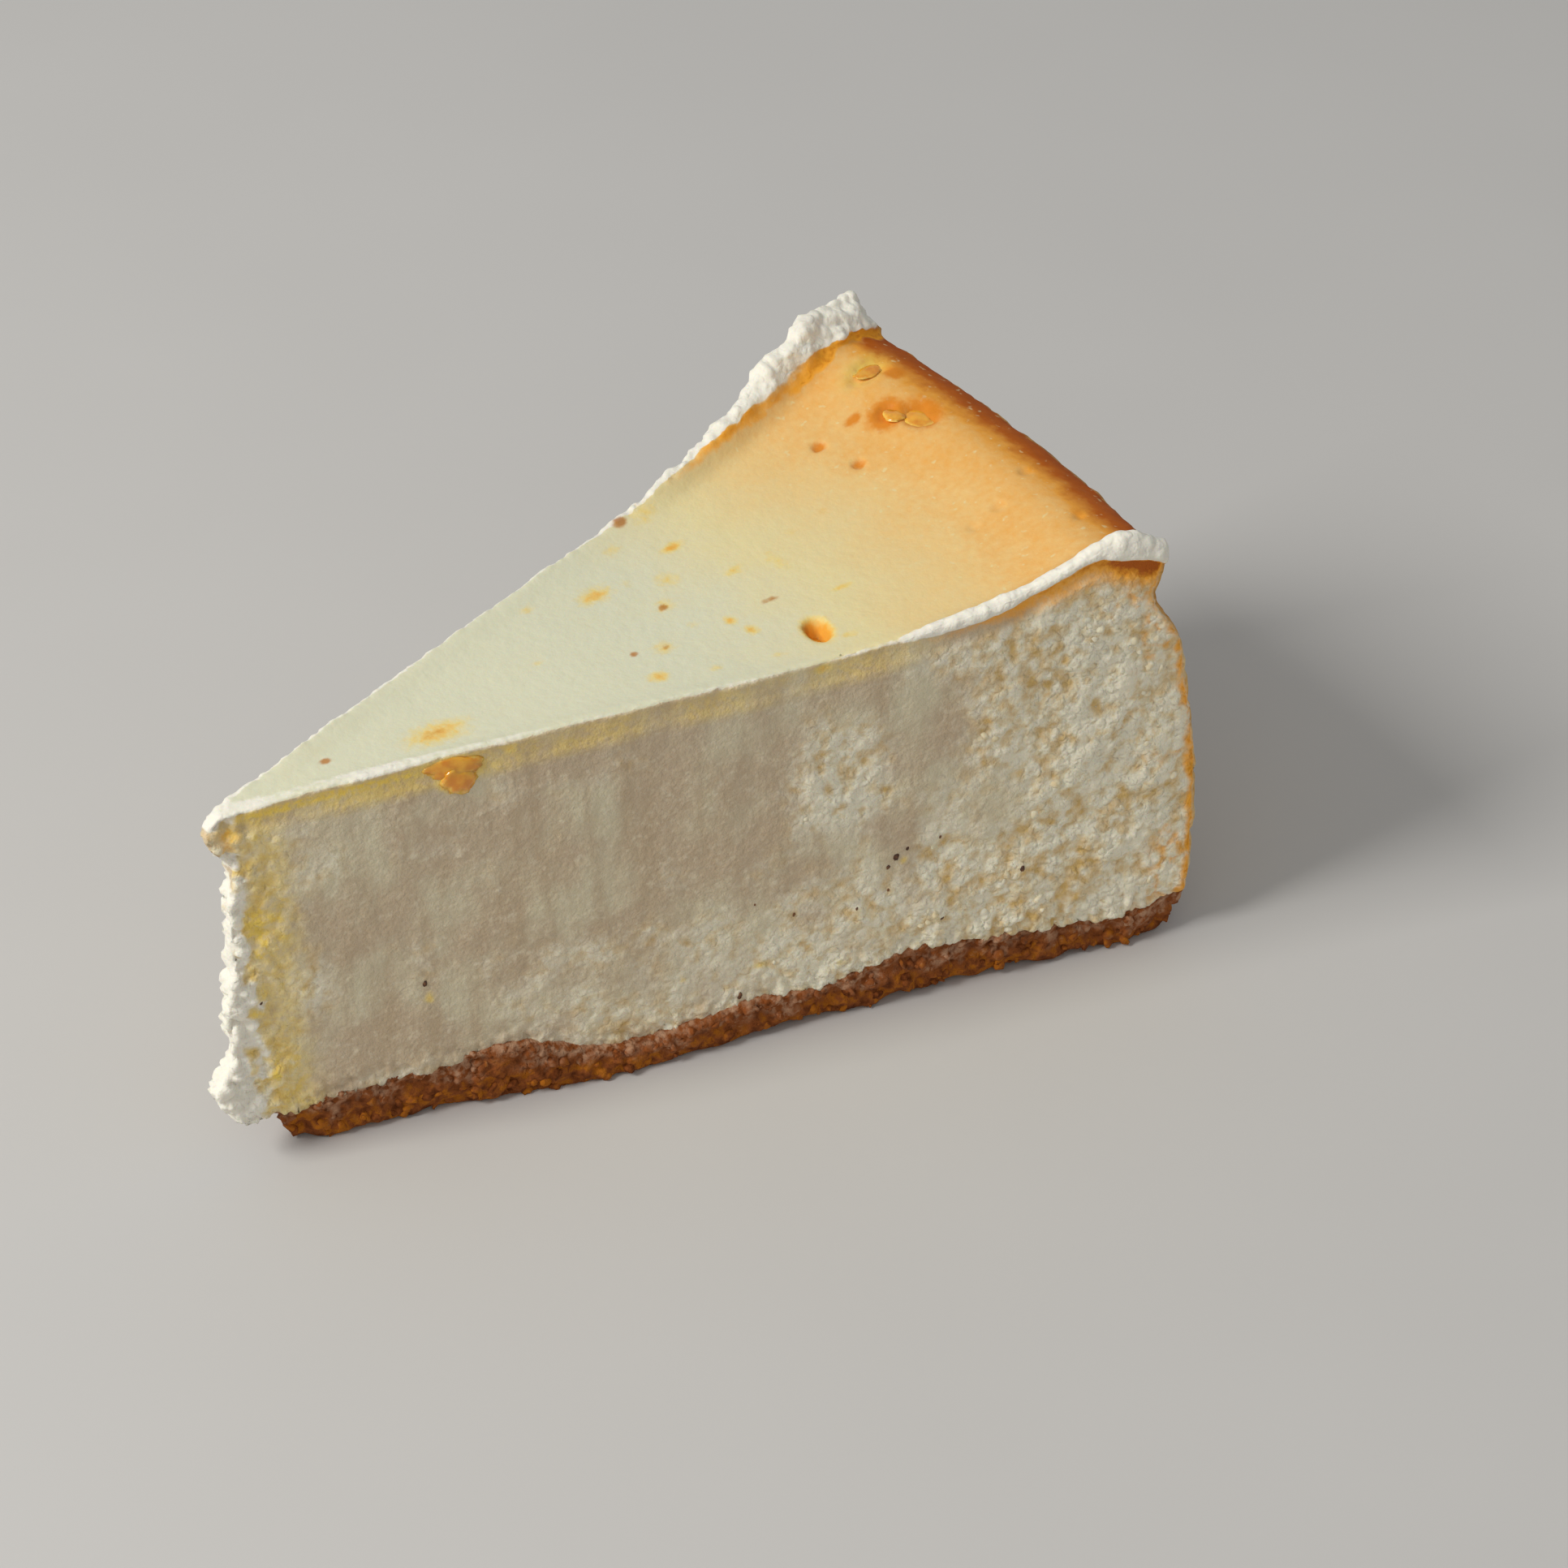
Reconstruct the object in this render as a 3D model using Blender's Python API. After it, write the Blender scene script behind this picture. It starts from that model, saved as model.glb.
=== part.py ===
"""A wedge slice of baked cheesecake on a crumb base, in metres, with +Z up.

The tip points along -X and the side that baked against the tin faces +X. The front cut
face looks towards -Y and the far cut face towards +Y. The slice stands on its crumb base,
and its origin is below the middle of its box. Two solids make it: the filling, which
carries the raised rim and the ridges that the knife dragged up along both cuts, and the
crumb base under it.

Every solid starts as a unit block, which is sliced into stations along the slice (u),
across it (v) and up it (w). Each corner of the sliced block is then moved to its place.
"""
import math

import bmesh
import bpy
from mathutils import Vector, noise

# Driving dimensions of the whole cake
TIN_RADIUS = 0.130
SLICE_ANGLE = math.radians(31.0)
HALF_ANGLE = SLICE_ANGLE / 2
GAP = 0.0003

# The top: nearly level from the tip outwards, then up to a crown and over a shoulder
TOP_PROFILE = (
    (0.000, 0.0528),
    (0.016, 0.0542),
    (0.045, 0.0554),
    (0.078, 0.0558),
    (0.096, 0.0572),
    (0.106, 0.0592),
    (0.115, 0.0624),
    (0.120, 0.0620),
    (0.1245, 0.0600),
)
CROWN_START = 0.090
CROWN_SAG = 0.0016
FAR_RISE = 0.0006
DISH_START = 0.050
DISH_DEPTH = 0.0008

# The outer side: how far it stands in from the tin, by height
SIDE_INSET = (
    (0.000, 0.0047),
    (0.0027, 0.0027),
    (0.008, 0.0011),
    (0.018, 0.0001),
    (0.030, 0.0005),
    (0.043, 0.0022),
    (0.0485, 0.0028),
    (0.0515, 0.0054),
    (0.0545, 0.0073),
    (0.0570, 0.0070),
    (0.0600, 0.0055),
)
LIP_RADIUS = TIN_RADIUS - SIDE_INSET[-1][1]
RIM_HEIGHT = TOP_PROFILE[-1][1]
GROOVE_BOTTOM = 0.049
GROOVE_BLEND = 0.006
GROOVE_LEVELLED = 0.55
GROOVE_DEEP_TO = -0.4
FAR_LIP_SHARE = 0.73
FAR_LIP_FROM = -0.6
RIM_POWER = 6

# The blunt tip: its distance from the cake's centre, and how far it bulges out by height
TIP_CUT = 0.0045
TIP_BULGE = (
    (0.005, 0.0027),
    (0.008, 0.0036),
    (0.0115, 0.0062),
    (0.0165, 0.0028),
    (0.020, 0.0038),
    (0.030, 0.0020),
    (0.040, 0.0017),
    (0.0450, 0.0002),
    (0.0485, 0.0030),
    (0.0520, 0.0034),
    (0.0540, 0.0012),
)
TIP_REACH = 0.005

# The ridges that the knife left standing on the top along the two cuts, by radius
NEAR_RIDGE = (
    (0.000, 0.0003),
    (0.084, 0.0004),
    (0.098, 0.0012),
    (0.110, 0.0015),
    (0.118, 0.0028),
    (0.1245, 0.0022),
)
FAR_RIDGE = (
    (0.000, 0.0003),
    (0.075, 0.0004),
    (0.088, 0.0017),
    (0.100, 0.0032),
    (0.113, 0.0044),
    (0.1245, 0.0042),
)
NEAR_RIDGE_WIDTH = 0.0026
NEAR_RIDGE_FLAT = 0.0009
FAR_RIDGE_WIDTH = 0.0036
FAR_RIDGE_FLAT = 0.0016
NEAR_OVERHANG = 0.0008
FAR_OVERHANG = 0.0010
OVERHANG_DEPTH = 0.011
OVERHANG_START = 0.075

# The crumb base: its height along the front cut by radius, and its own outline
CRUMB_HEIGHT = (
    (0.004, 0.0052),
    (0.012, 0.0066),
    (0.028, 0.0072),
    (0.037, 0.0084),
    (0.048, 0.0042),
    (0.056, 0.0036),
    (0.068, 0.0056),
    (0.078, 0.0049),
    (0.089, 0.0077),
    (0.104, 0.0062),
    (0.119, 0.0050),
    (0.130, 0.0084),
)
FAR_CRUMB_SHIFT = 0.014
BASE_TIP = 0.0060
BASE_TIP_ROUND = 0.0028
BASE_EDGE_ROUND = 0.0007
BASE_SPREAD = 0.0022
BASE_SPREAD_AT = 0.052
BASE_SPREAD_LENGTH = 0.016
BASE_SPREAD_TOP = 0.4

# Relief of the surfaces: how deep, and how long from one lump to the next
CUT_WAVE, CUT_WAVE_LENGTH = 0.0005, 0.019
CUT_WAVE_LEAN = 0.6
CURD, CURD_LENGTH = 0.0004, 0.0065
CURD_FROM, CURD_FULL = 0.05, 0.11
CUT_FOOT = 0.002
TOP_WAVE, TOP_WAVE_LENGTH = 0.0003, 0.024
SIDE_WAVE, SIDE_WAVE_LENGTH = 0.0005, 0.015
CRAG, CRAG_LENGTH = 0.45, 0.0075
TIP_CRAG, TIP_CRAG_LENGTH = 0.0011, 0.0050
CRUMB, CRUMB_LENGTH = 0.0010, 0.0060
MIDDLE_RADIUS = 0.080

# How finely each block is sliced, and how much finer towards its ends
FILLING_CUTS = (42, 18, 16)
BASE_CUTS = (42, 18, 3)
FINER_ENDS = (0.50, 0.70, 0.55)
SHARP_ANGLE = math.radians(50.0)


def clear_scene():
    """Removes what the scene holds, so that only the slice is left in it."""
    for obj in list(bpy.data.objects):
        bpy.data.objects.remove(obj, do_unlink=True)


def ease(x, start, end):
    """Climbs smoothly from 0 at start to 1 at end."""
    t = min(max((x - start) / (end - start), 0.0), 1.0)
    return t * t * (3.0 - 2.0 * t)


def through(points, x):
    """A smooth curve through (x, value) points, level beyond the first and the last."""
    if x <= points[0][0]:
        return points[0][1]
    if x >= points[-1][0]:
        return points[-1][1]
    i = max(k for k in range(len(points) - 1) if points[k][0] <= x)
    (x0, y0), (x1, y1) = points[i], points[i + 1]
    before = points[max(i - 1, 0)]
    after = points[min(i + 2, len(points) - 1)]
    span = x1 - x0
    slope0 = (y1 - before[1]) / (x1 - before[0]) * span
    slope1 = (after[1] - y0) / (after[0] - x0) * span
    t = (x - x0) / span
    return (
        y0 * (2 * t**3 - 3 * t**2 + 1)
        + slope0 * (t**3 - 2 * t**2 + t)
        + y1 * (3 * t**2 - 2 * t**3)
        + slope1 * (t**3 - t**2)
    )


def lumps(x, y, z, length):
    """Even noise between -1 and 1, with lumps about one length apart."""
    return noise.noise(Vector((x, y, z)) / length)


def crumb_height(r, v):
    """Height of the crumb base at a radius, from the front cut (v = -1) to the far one."""
    front = through(CRUMB_HEIGHT, r)
    back = through(CRUMB_HEIGHT, min(r + FAR_CRUMB_SHIFT, CRUMB_HEIGHT[-1][0]))
    share = (v + 1.0) / 2.0
    return front * (1.0 - share) + back * share


def top_height(r, v):
    """Height of the top surface, without the ridges along the cuts."""
    middle = 1.0 - v * v
    crown = ease(r, CROWN_START, LIP_RADIUS)
    height = through(TOP_PROFILE, r)
    height += crown * (FAR_RISE * ease(v, 0.0, 1.0) - CROWN_SAG * middle)
    height -= DISH_DEPTH * middle * (1.0 - crown) * ease(r, 0.0, DISH_START)
    across = v * HALF_ANGLE * MIDDLE_RADIUS
    return height + TOP_WAVE * lumps(r, across, 0.0, TOP_WAVE_LENGTH)


def ridge_height(r, v):
    """Height of the ridges on the top, by the distance from the nearer cut."""
    near = r * HALF_ANGLE * (1.0 + v)
    far = r * HALF_ANGLE * (1.0 - v)
    rough = 1.0 + CRAG * lumps(r, far, 0.0, CRAG_LENGTH)
    near_share = 1.0 - ease(near, NEAR_RIDGE_FLAT, NEAR_RIDGE_WIDTH)
    far_share = 1.0 - ease(far, FAR_RIDGE_FLAT, FAR_RIDGE_WIDTH)
    near_height = through(NEAR_RIDGE, r) * near_share
    far_height = through(FAR_RIDGE, r) * far_share
    return rough * max(near_height, far_height)


def side_radius(z, v, rim):
    """Radius of the outer side at a height, where the rim stands at the given height."""
    level = z * RIM_HEIGHT / rim
    inset = through(SIDE_INSET, level)
    if level > GROOVE_BOTTOM:
        plain = SIDE_INSET[-1][1] * ease(level, GROOVE_BOTTOM - GROOVE_BLEND, RIM_HEIGHT)
        inset += (plain - inset) * GROOVE_LEVELLED * ease(v, -1.0, GROOVE_DEEP_TO)
        upright = (1.0 - FAR_LIP_SHARE) * ease(v, FAR_LIP_FROM, 1.0)
        inset *= 1.0 - upright * ease(level, GROOVE_BOTTOM, RIM_HEIGHT)
    across = v * HALF_ANGLE * TIN_RADIUS
    return TIN_RADIUS - inset + SIDE_WAVE * lumps(TIN_RADIUS, across, z, SIDE_WAVE_LENGTH)


def overhang(r, z, top, side):
    """How far the dragged filling leans out over a cut, near its top edge."""
    amount = NEAR_OVERHANG if side < 0 else FAR_OVERHANG
    along = ease(r, OVERHANG_START, LIP_RADIUS)
    down = 1.0 - ease(top - z, 0.0, OVERHANG_DEPTH)
    rough = 1.0 + CRAG * lumps(r, side, z, CRAG_LENGTH)
    return amount * along * down * rough


def cut_relief(r, z, side):
    """Relief of a cut face: a long wave of the knife and the broken curd on it."""
    wave = CUT_WAVE * lumps(r, side, z * CUT_WAVE_LEAN, CUT_WAVE_LENGTH)
    curd = CURD * lumps(r, side, z, CURD_LENGTH) * ease(r, CURD_FROM, CURD_FULL)
    return wave + curd


def on_the_plan(r, v, z):
    """The point at a radius, with v running from the near cut (-1) to the far one (1)."""
    return Vector((r * math.cos(HALF_ANGLE * v), r * math.sin(HALF_ANGLE * v), z))


def out_of_the_cut(side):
    """The direction that points out of the near cut (-1) or the far one (1)."""
    return Vector((-math.sin(HALF_ANGLE), side * math.cos(HALF_ANGLE), 0.0))


def nearness_to_tip(r):
    """1 at the blunt tip, falling away within its reach."""
    return math.exp(-(((r - TIP_CUT) / TIP_REACH) ** 2))


def place_filling(u, v, w):
    """Moves a corner of the sliced block to its place on the filling."""
    r = TIP_CUT + (LIP_RADIUS - TIP_CUT) * u
    bottom = crumb_height(r, v) + GAP
    top = top_height(r, v)
    z = bottom + (top + ridge_height(r, v) * (w == 1.0) - bottom) * w
    rim = top_height(LIP_RADIUS, v)
    r += (side_radius(z, v, rim) - LIP_RADIUS) * u**RIM_POWER
    place = on_the_plan(r, v, z)
    if abs(v) == 1.0:
        out = cut_relief(r, z, v) + overhang(r, z, top, v)
        place += out_of_the_cut(v) * out * ease(z - bottom, -GAP, CUT_FOOT)
    crag = TIP_CRAG * lumps(*place, TIP_CRAG_LENGTH)
    place.x -= (through(TIP_BULGE, z) + crag) * nearness_to_tip(r)
    return place


def place_base(u, v, w):
    """Moves a corner of the sliced block to its place on the crumb base."""
    r = TIP_CUT + (LIP_RADIUS - TIP_CUT) * u
    top = crumb_height(r, v)
    z = top * w
    rim = top_height(LIP_RADIUS, v)
    r += (side_radius(z, v, rim) - LIP_RADIUS) * u**RIM_POWER
    if u == 1.0:
        r += CRUMB * lumps(r, v * HALF_ANGLE * r, z, CRUMB_LENGTH)
    place = on_the_plan(r, v, z)
    place.x += (BASE_TIP - TIP_CUT + BASE_TIP_ROUND * (1.0 - w)) * nearness_to_tip(r)
    if abs(v) == 1.0:
        out = CRUMB * lumps(r, v, z, CRUMB_LENGTH) - BASE_EDGE_ROUND * (w == 0.0)
        if v < 0:
            spread = math.exp(-(((r - BASE_SPREAD_AT) / BASE_SPREAD_LENGTH) ** 2))
            out += BASE_SPREAD * spread * (1.0 + (BASE_SPREAD_TOP - 1.0) * w)
        place += out_of_the_cut(v) * out
    return place


def stations(count, finer):
    """Places of the slices through a unit block, closer together towards both ends."""
    return [i / count - finer * math.sin(math.tau * i / count) / math.tau for i in range(1, count)]


def sliced_block(cuts):
    """A unit block sliced along each axis: u and w run from 0 to 1, v from -1 to 1."""
    block = bmesh.new()
    bmesh.ops.create_cube(block, size=1.0)
    for vert in block.verts:
        vert.co = Vector((vert.co.x + 0.5, vert.co.y * 2.0, vert.co.z + 0.5))
    for axis, (count, finer) in enumerate(zip(cuts, FINER_ENDS)):
        normal = Vector([float(k == axis) for k in range(3)])
        for place in stations(count, finer):
            at = 2.0 * place - 1.0 if axis == 1 else place
            everything = block.verts[:] + block.edges[:] + block.faces[:]
            bmesh.ops.bisect_plane(block, geom=everything, plane_co=normal * at, plane_no=normal)
    return block


def join_flat_bottom(block):
    """Makes one face of the flat underside."""
    under = [face for face in block.faces if all(vert.co.z == 0.0 for vert in face.verts)]
    bmesh.ops.dissolve_faces(block, faces=under, use_verts=False)


def solid(name, block, material):
    """Turns a placed block into a smooth-shaded object with its material."""
    bmesh.ops.recalc_face_normals(block, faces=block.faces[:])
    mesh = bpy.data.meshes.new(name)
    block.to_mesh(mesh)
    block.free()
    mesh.shade_smooth()
    mesh.set_sharp_from_angle(angle=SHARP_ANGLE)
    mesh.materials.append(material)
    obj = bpy.data.objects.new(name, mesh)
    bpy.context.scene.collection.objects.link(obj)
    return obj


def principled(name, colour, roughness, subsurface=0.0):
    """A plain Principled material in linear colour."""
    material = bpy.data.materials.new(name)
    material.use_nodes = True
    shader = material.node_tree.nodes["Principled BSDF"]
    shader.inputs["Base Color"].default_value = (*colour, 1.0)
    shader.inputs["Roughness"].default_value = roughness
    shader.inputs["Metallic"].default_value = 0.0
    shader.inputs["Subsurface Weight"].default_value = subsurface
    return material


def make_filling():
    """The cheesecake itself, from the tip to the outer rim."""
    block = sliced_block(FILLING_CUTS)
    for vert in block.verts:
        vert.co = place_filling(*vert.co)
    return solid("filling", block, principled("baked cream cheese", (0.66, 0.58, 0.38), 0.55, 0.1))


def make_crumb_base():
    """The pressed biscuit crumb under the filling, with a flat underside."""
    block = sliced_block(BASE_CUTS)
    for vert in block.verts:
        vert.co = place_base(*vert.co)
    join_flat_bottom(block)
    return solid("crumb_base", block, principled("biscuit crumb", (0.20, 0.085, 0.028), 0.9))


def centre_on_origin(parts):
    """Moves the meshes so that the origin is below the middle of their common box."""
    corners = [vert.co for obj in parts for vert in obj.data.vertices]
    middle_x = (min(c.x for c in corners) + max(c.x for c in corners)) / 2
    middle_y = (min(c.y for c in corners) + max(c.y for c in corners)) / 2
    for corner in corners:
        corner.x -= middle_x
        corner.y -= middle_y
    for obj in parts:
        obj.data.update()


def main():
    clear_scene()
    centre_on_origin([make_filling(), make_crumb_base()])


main()
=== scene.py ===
"""A wedge slice of baked cheesecake on a crumb base, dressed over its CAD frame.

Lengths are in metres. Places on the slice are given by their distance from the cake's
centre and by their angle from the middle of the slice, or by their height on a cut.
"""
import math

import bmesh
import bpy
import numpy as np
from mathutils import Matrix, Vector, noise
from mathutils.bvhtree import BVHTree


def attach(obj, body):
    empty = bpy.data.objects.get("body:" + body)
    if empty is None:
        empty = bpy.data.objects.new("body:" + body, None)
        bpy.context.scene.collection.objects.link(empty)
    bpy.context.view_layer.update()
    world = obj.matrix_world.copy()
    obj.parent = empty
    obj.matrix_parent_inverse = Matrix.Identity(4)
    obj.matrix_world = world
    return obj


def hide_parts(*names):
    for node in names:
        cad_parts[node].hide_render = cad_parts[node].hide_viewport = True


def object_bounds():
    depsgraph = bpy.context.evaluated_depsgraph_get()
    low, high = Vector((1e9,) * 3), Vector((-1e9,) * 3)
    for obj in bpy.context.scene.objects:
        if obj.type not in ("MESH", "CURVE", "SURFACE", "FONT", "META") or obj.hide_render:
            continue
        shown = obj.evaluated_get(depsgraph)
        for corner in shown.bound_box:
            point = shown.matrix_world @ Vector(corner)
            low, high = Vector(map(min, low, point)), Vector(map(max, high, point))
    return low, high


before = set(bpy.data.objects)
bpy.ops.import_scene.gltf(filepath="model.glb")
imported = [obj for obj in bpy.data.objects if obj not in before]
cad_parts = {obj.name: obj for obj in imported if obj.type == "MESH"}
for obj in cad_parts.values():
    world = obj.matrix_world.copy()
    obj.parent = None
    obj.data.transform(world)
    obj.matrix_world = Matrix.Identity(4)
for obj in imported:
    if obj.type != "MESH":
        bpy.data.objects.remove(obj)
CAD_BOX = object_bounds()

MM = 0.001

# The slice: where its cuts would meet, half the angle between them, its size, and how they face
CAKE_CENTRE = np.array([-0.0641, 0.0, 0.0])
HALF_ANGLE = math.radians(15.5)
REACH = 126 * MM
TALLEST = 70 * MM
OUT_OF_NEAR_CUT = np.array([-math.sin(HALF_ANGLE), -math.cos(HALF_ANGLE), 0.0])
OUT_OF_FAR_CUT = np.array([-math.sin(HALF_ANGLE), math.cos(HALF_ANGLE), 0.0])

# The camera
CAMERA_AZIMUTH = math.radians(-34.93)
CAMERA_ELEVATION = math.radians(37.2)
CAMERA_ROLL = math.radians(-1.0)
CAMERA_DISTANCE = 0.6179
CAMERA_TARGET = Vector((0.01445, -0.00882, 0.0291))
PICTURE_SIDE = 1932
FOCAL_LENGTH = 6000
SENSOR = 36.0

# The studio: its floor, its two lights and the light from all round
FLOOR_HALF = 3.0
KEY_DIRECTION = (-0.77, 0.14, 0.73)
KEY_COLOUR = (1.0, 0.985, 0.96)
FILL_DIRECTION = (-0.62, -0.85, 0.62)
FILL_COLOUR = (1.0, 0.89, 0.76)
SKY_COLOUR = (0.96, 0.98, 1.0, 1.0)
SKY_STRENGTH = 0.38

# How finely the filling and the base are modelled
FILLING_GRAIN = 0.43 * MM
FILLING_KEPT = 0.58
BASE_GRAIN = 0.50 * MM

# Marks on the top: distance from the centre, angle, length and width in mm, strength
BROWN_MARKS = (
    (75.8, 14.6, 2.5, 1.8, 1.0),
    (68.2, 1.6, 1.6, 1.8, 0.85),
    (79.6, -3.8, 3.4, 1.4, 0.70),
    (63.8, -4.8, 1.5, 1.7, 0.60),
    (59.8, -4.1, 1.3, 1.4, 0.90),
    (18.3, 1.1, 1.8, 1.4, 0.90),
    (31.6, -5.0, 5.0, 2.4, 0.42),
    (112.2, 7.6, 3.4, 2.4, 0.42),
    # Painted shade on the left wall of the big hole at 81 mm, not a stain
    (80.4, -9.6, 2.0, 3.2, 0.75),
)
AMBER_MARKS = (
    (79.3, 13.9, 6.0, 3.8, 0.40),
    (77.1, 8.7, 3.8, 2.0, 0.75),
    (71.2, 12.4, 3.4, 2.2, 0.42),
    (67.9, 7.4, 2.4, 2.4, 0.32),
    (72.3, 5.1, 4.6, 4.6, 0.42),
    (68.6, 1.8, 3.4, 3.2, 0.50),
    (63.2, 8.0, 6.0, 3.4, 0.62),
    (79.6, 2.0, 3.2, 2.2, 0.55),
    (84.8, 0.6, 2.4, 6.0, 0.42),
    (73.3, -4.5, 2.2, 2.6, 0.60),
    (74.5, -7.0, 2.2, 2.6, 0.62),
    (63.6, -4.8, 3.6, 3.4, 0.50),
    (60.0, -10.0, 3.4, 2.8, 0.65),
    (88.1, -5.9, 3.8, 1.3, 0.60),
    (89.7, 3.1, 2.2, 2.0, 0.36),
    (95.2, 3.4, 2.2, 2.0, 0.36),
    (69.0, -2.7, 2.4, 2.0, 0.34),
    (67.0, -11.3, 2.4, 2.0, 0.40),
    (55.0, 11.5, 3.4, 2.4, 0.36),
    (49.0, 1.5, 2.6, 1.4, 0.34),
    (74.9, -12.1, 2.6, 1.6, 0.40),
    (84.4, -12.3, 3.0, 1.6, 0.50),
    (32.0, -5.4, 10.0, 5.4, 0.62),
    (81.4, -10.2, 3.4, 5.4, 1.5),
    (112.3, 7.0, 5.6, 5.0, 0.95),
    (109.3, 8.6, 3.2, 1.8, 0.70),
    (103.5, 8.9, 2.2, 2.0, 0.70),
    (104.6, 5.4, 2.1, 2.0, 0.62),
    (115.4, 5.2, 6.0, 6.6, 0.85),
    (118.4, 9.4, 3.4, 3.4, 0.80),
)

# A yellow dimple near the far corner: distance from the centre, angle, length, width, strength
YELLOW_DIMPLE = (116.6, 11.0, 6.4, 3.6, 1.1)

# Hollows in the top: distance from the centre, angle, length, width and depth in mm
HOLLOWS = (
    (81.4, -10.2, 2.6, 4.6, 2.6),
    (115.0, 5.3, 4.4, 5.4, 0.9),
    (116.5, 10.8, 7.0, 4.0, 0.8),
    (112.3, 7.2, 3.0, 2.4, 0.5),
    (103.5, 8.9, 1.9, 2.0, 0.45),
    (104.6, 5.4, 1.8, 1.9, 0.45),
    (117.5, -4.0, 1.8, 1.8, 0.35),
    (111.1, -5.7, 1.8, 1.8, 0.30),
    (117.7, -10.2, 1.8, 1.8, 0.40),
    (107.1, -6.0, 1.6, 1.6, 0.25),
)

# Amber drops in the hollows: distance from the centre, angle, length, width, height in mm
AMBER_DROPS = (
    (81.2, -10.0, 2.4, 3.8, 0.9),
    (114.9, 5.3, 4.0, 5.0, 0.8),
    (112.7, 6.5, 2.6, 3.0, 0.6),
    (117.0, 10.9, 5.0, 2.6, 0.45),
)

# Amber drops on the near cut: distance from the centre, height, width, height in mm, how thick
CUT_DROPS = (
    (31.8, 53.0, 7.6, 3.2, 0.8),
    (32.6, 51.2, 4.6, 4.0, 0.9),
)

# Dark specks on the near cut: distance from the centre, height and size in mm
SPECKS = (
    (88.6, 23.4, 0.9),
    (87.5, 22.0, 0.6),
    (90.1, 24.3, 0.5),
    (105.6, 17.2, 0.7),
    (74.7, 18.1, 0.5),
    (83.1, 16.8, 0.4),
    (87.5, 18.3, 0.4),
    (94.7, 11.9, 0.6),
    (69.5, 21.2, 0.3),
    (94.6, 24.8, 0.4),
    (26.4, 21.0, 0.7),
    (67.3, 6.9, 0.8),
    (5.6, 24.7, 0.5),
)

# Amber marks on the near cut: distance from the centre, height, width, height in mm, strength
CUT_MARKS = (
    (31.4, 53.4, 7.4, 2.6, 1.1),
    (33.0, 52.4, 4.4, 3.4, 1.1),
    (31.6, 51.0, 3.8, 3.2, 1.0),
    (39.1, 54.0, 2.6, 1.8, 0.55),
    (24.0, 55.0, 2.2, 1.4, 0.50),
    (79.1, 54.9, 2.6, 1.9, 0.62),
    (26.8, 18.6, 1.8, 2.4, 0.50),
    (59.8, 11.9, 1.6, 1.6, 0.40),
    (70.2, 11.2, 2.8, 1.6, 0.45),
    (80.8, 8.7, 2.0, 1.4, 0.42),
    (89.5, 22.6, 1.6, 1.4, 0.50),
)

# Torn pockets in the near cut: distance from the centre, height, width, height in mm, depth
TORN_POCKETS = (
    (104.0, 51.5, 1.8, 4.0, 0.9),
    (106.5, 47.5, 1.6, 3.0, 0.7),
    (111.5, 44.0, 2.2, 2.6, 0.9),
    (115.5, 40.0, 2.0, 3.2, 0.9),
    (108.0, 38.5, 1.6, 2.4, 0.6),
    (99.5, 33.5, 1.6, 2.0, 0.6),
    (79.5, 36.5, 2.2, 3.4, 0.7),
    (84.5, 39.5, 2.0, 2.6, 0.6),
    (87.5, 36.5, 1.6, 2.2, 0.5),
    (117.5, 30.5, 2.0, 2.4, 0.8),
    (112.0, 24.0, 2.4, 2.0, 0.7),
    (104.5, 22.0, 2.0, 2.2, 0.6),
    (118.5, 21.0, 1.8, 2.2, 0.7),
    (96.0, 19.5, 1.8, 1.8, 0.5),
)

# White lumps that stand on the near cut: distance from the centre, height, width, height, rise
WHITE_LUMPS = (
    (119.0, 43.0, 3.0, 5.6, 0.9),
    (117.5, 47.5, 2.4, 3.0, 0.5),
    (81.5, 34.0, 3.0, 2.6, 0.6),
    (77.5, 38.0, 2.4, 3.0, 0.5),
    (86.0, 43.0, 2.6, 2.4, 0.5),
    (113.5, 33.0, 3.4, 2.8, 0.6),
    (108.0, 28.0, 3.0, 2.4, 0.5),
    (100.5, 24.5, 2.4, 2.0, 0.5),
    (92.0, 14.5, 2.8, 2.2, 0.5),
)


def ease(x, start, end):
    """Climbs smoothly from 0 at start to 1 at end."""
    t = np.clip((x - start) / (end - start), 0.0, 1.0)
    return t * t * (3.0 - 2.0 * t)


def band(x, start, end, soft):
    """1 between start and end, fading to 0 within the soft distance outside them."""
    return ease(x, start - soft, start) * (1.0 - ease(x, end, end + soft))


def uneven(points, length, stretch=(1.0, 1.0, 1.0), shift=0.0):
    """Even noise between about -1 and 1, with lumps about one length apart."""
    scaled = points / (length * np.array(stretch)) + shift
    return np.array([noise.noise(Vector(p)) for p in scaled])


def granules(points, length, shift=0.0):
    """Rounded grains that touch: near 1 on a grain, falling to 0 between grains."""
    wander = 0.35 * length
    moved = points + wander * np.stack(
        [uneven(points, length * 1.3, shift=shift + k * 7.3) for k in range(3)], axis=1
    )
    nearest = [noise.voronoi(Vector(p))[0][0] for p in moved / length + shift]
    return np.clip(1.0 - np.array(nearest) ** 2 * 1.25, 0.0, 1.0)


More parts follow.
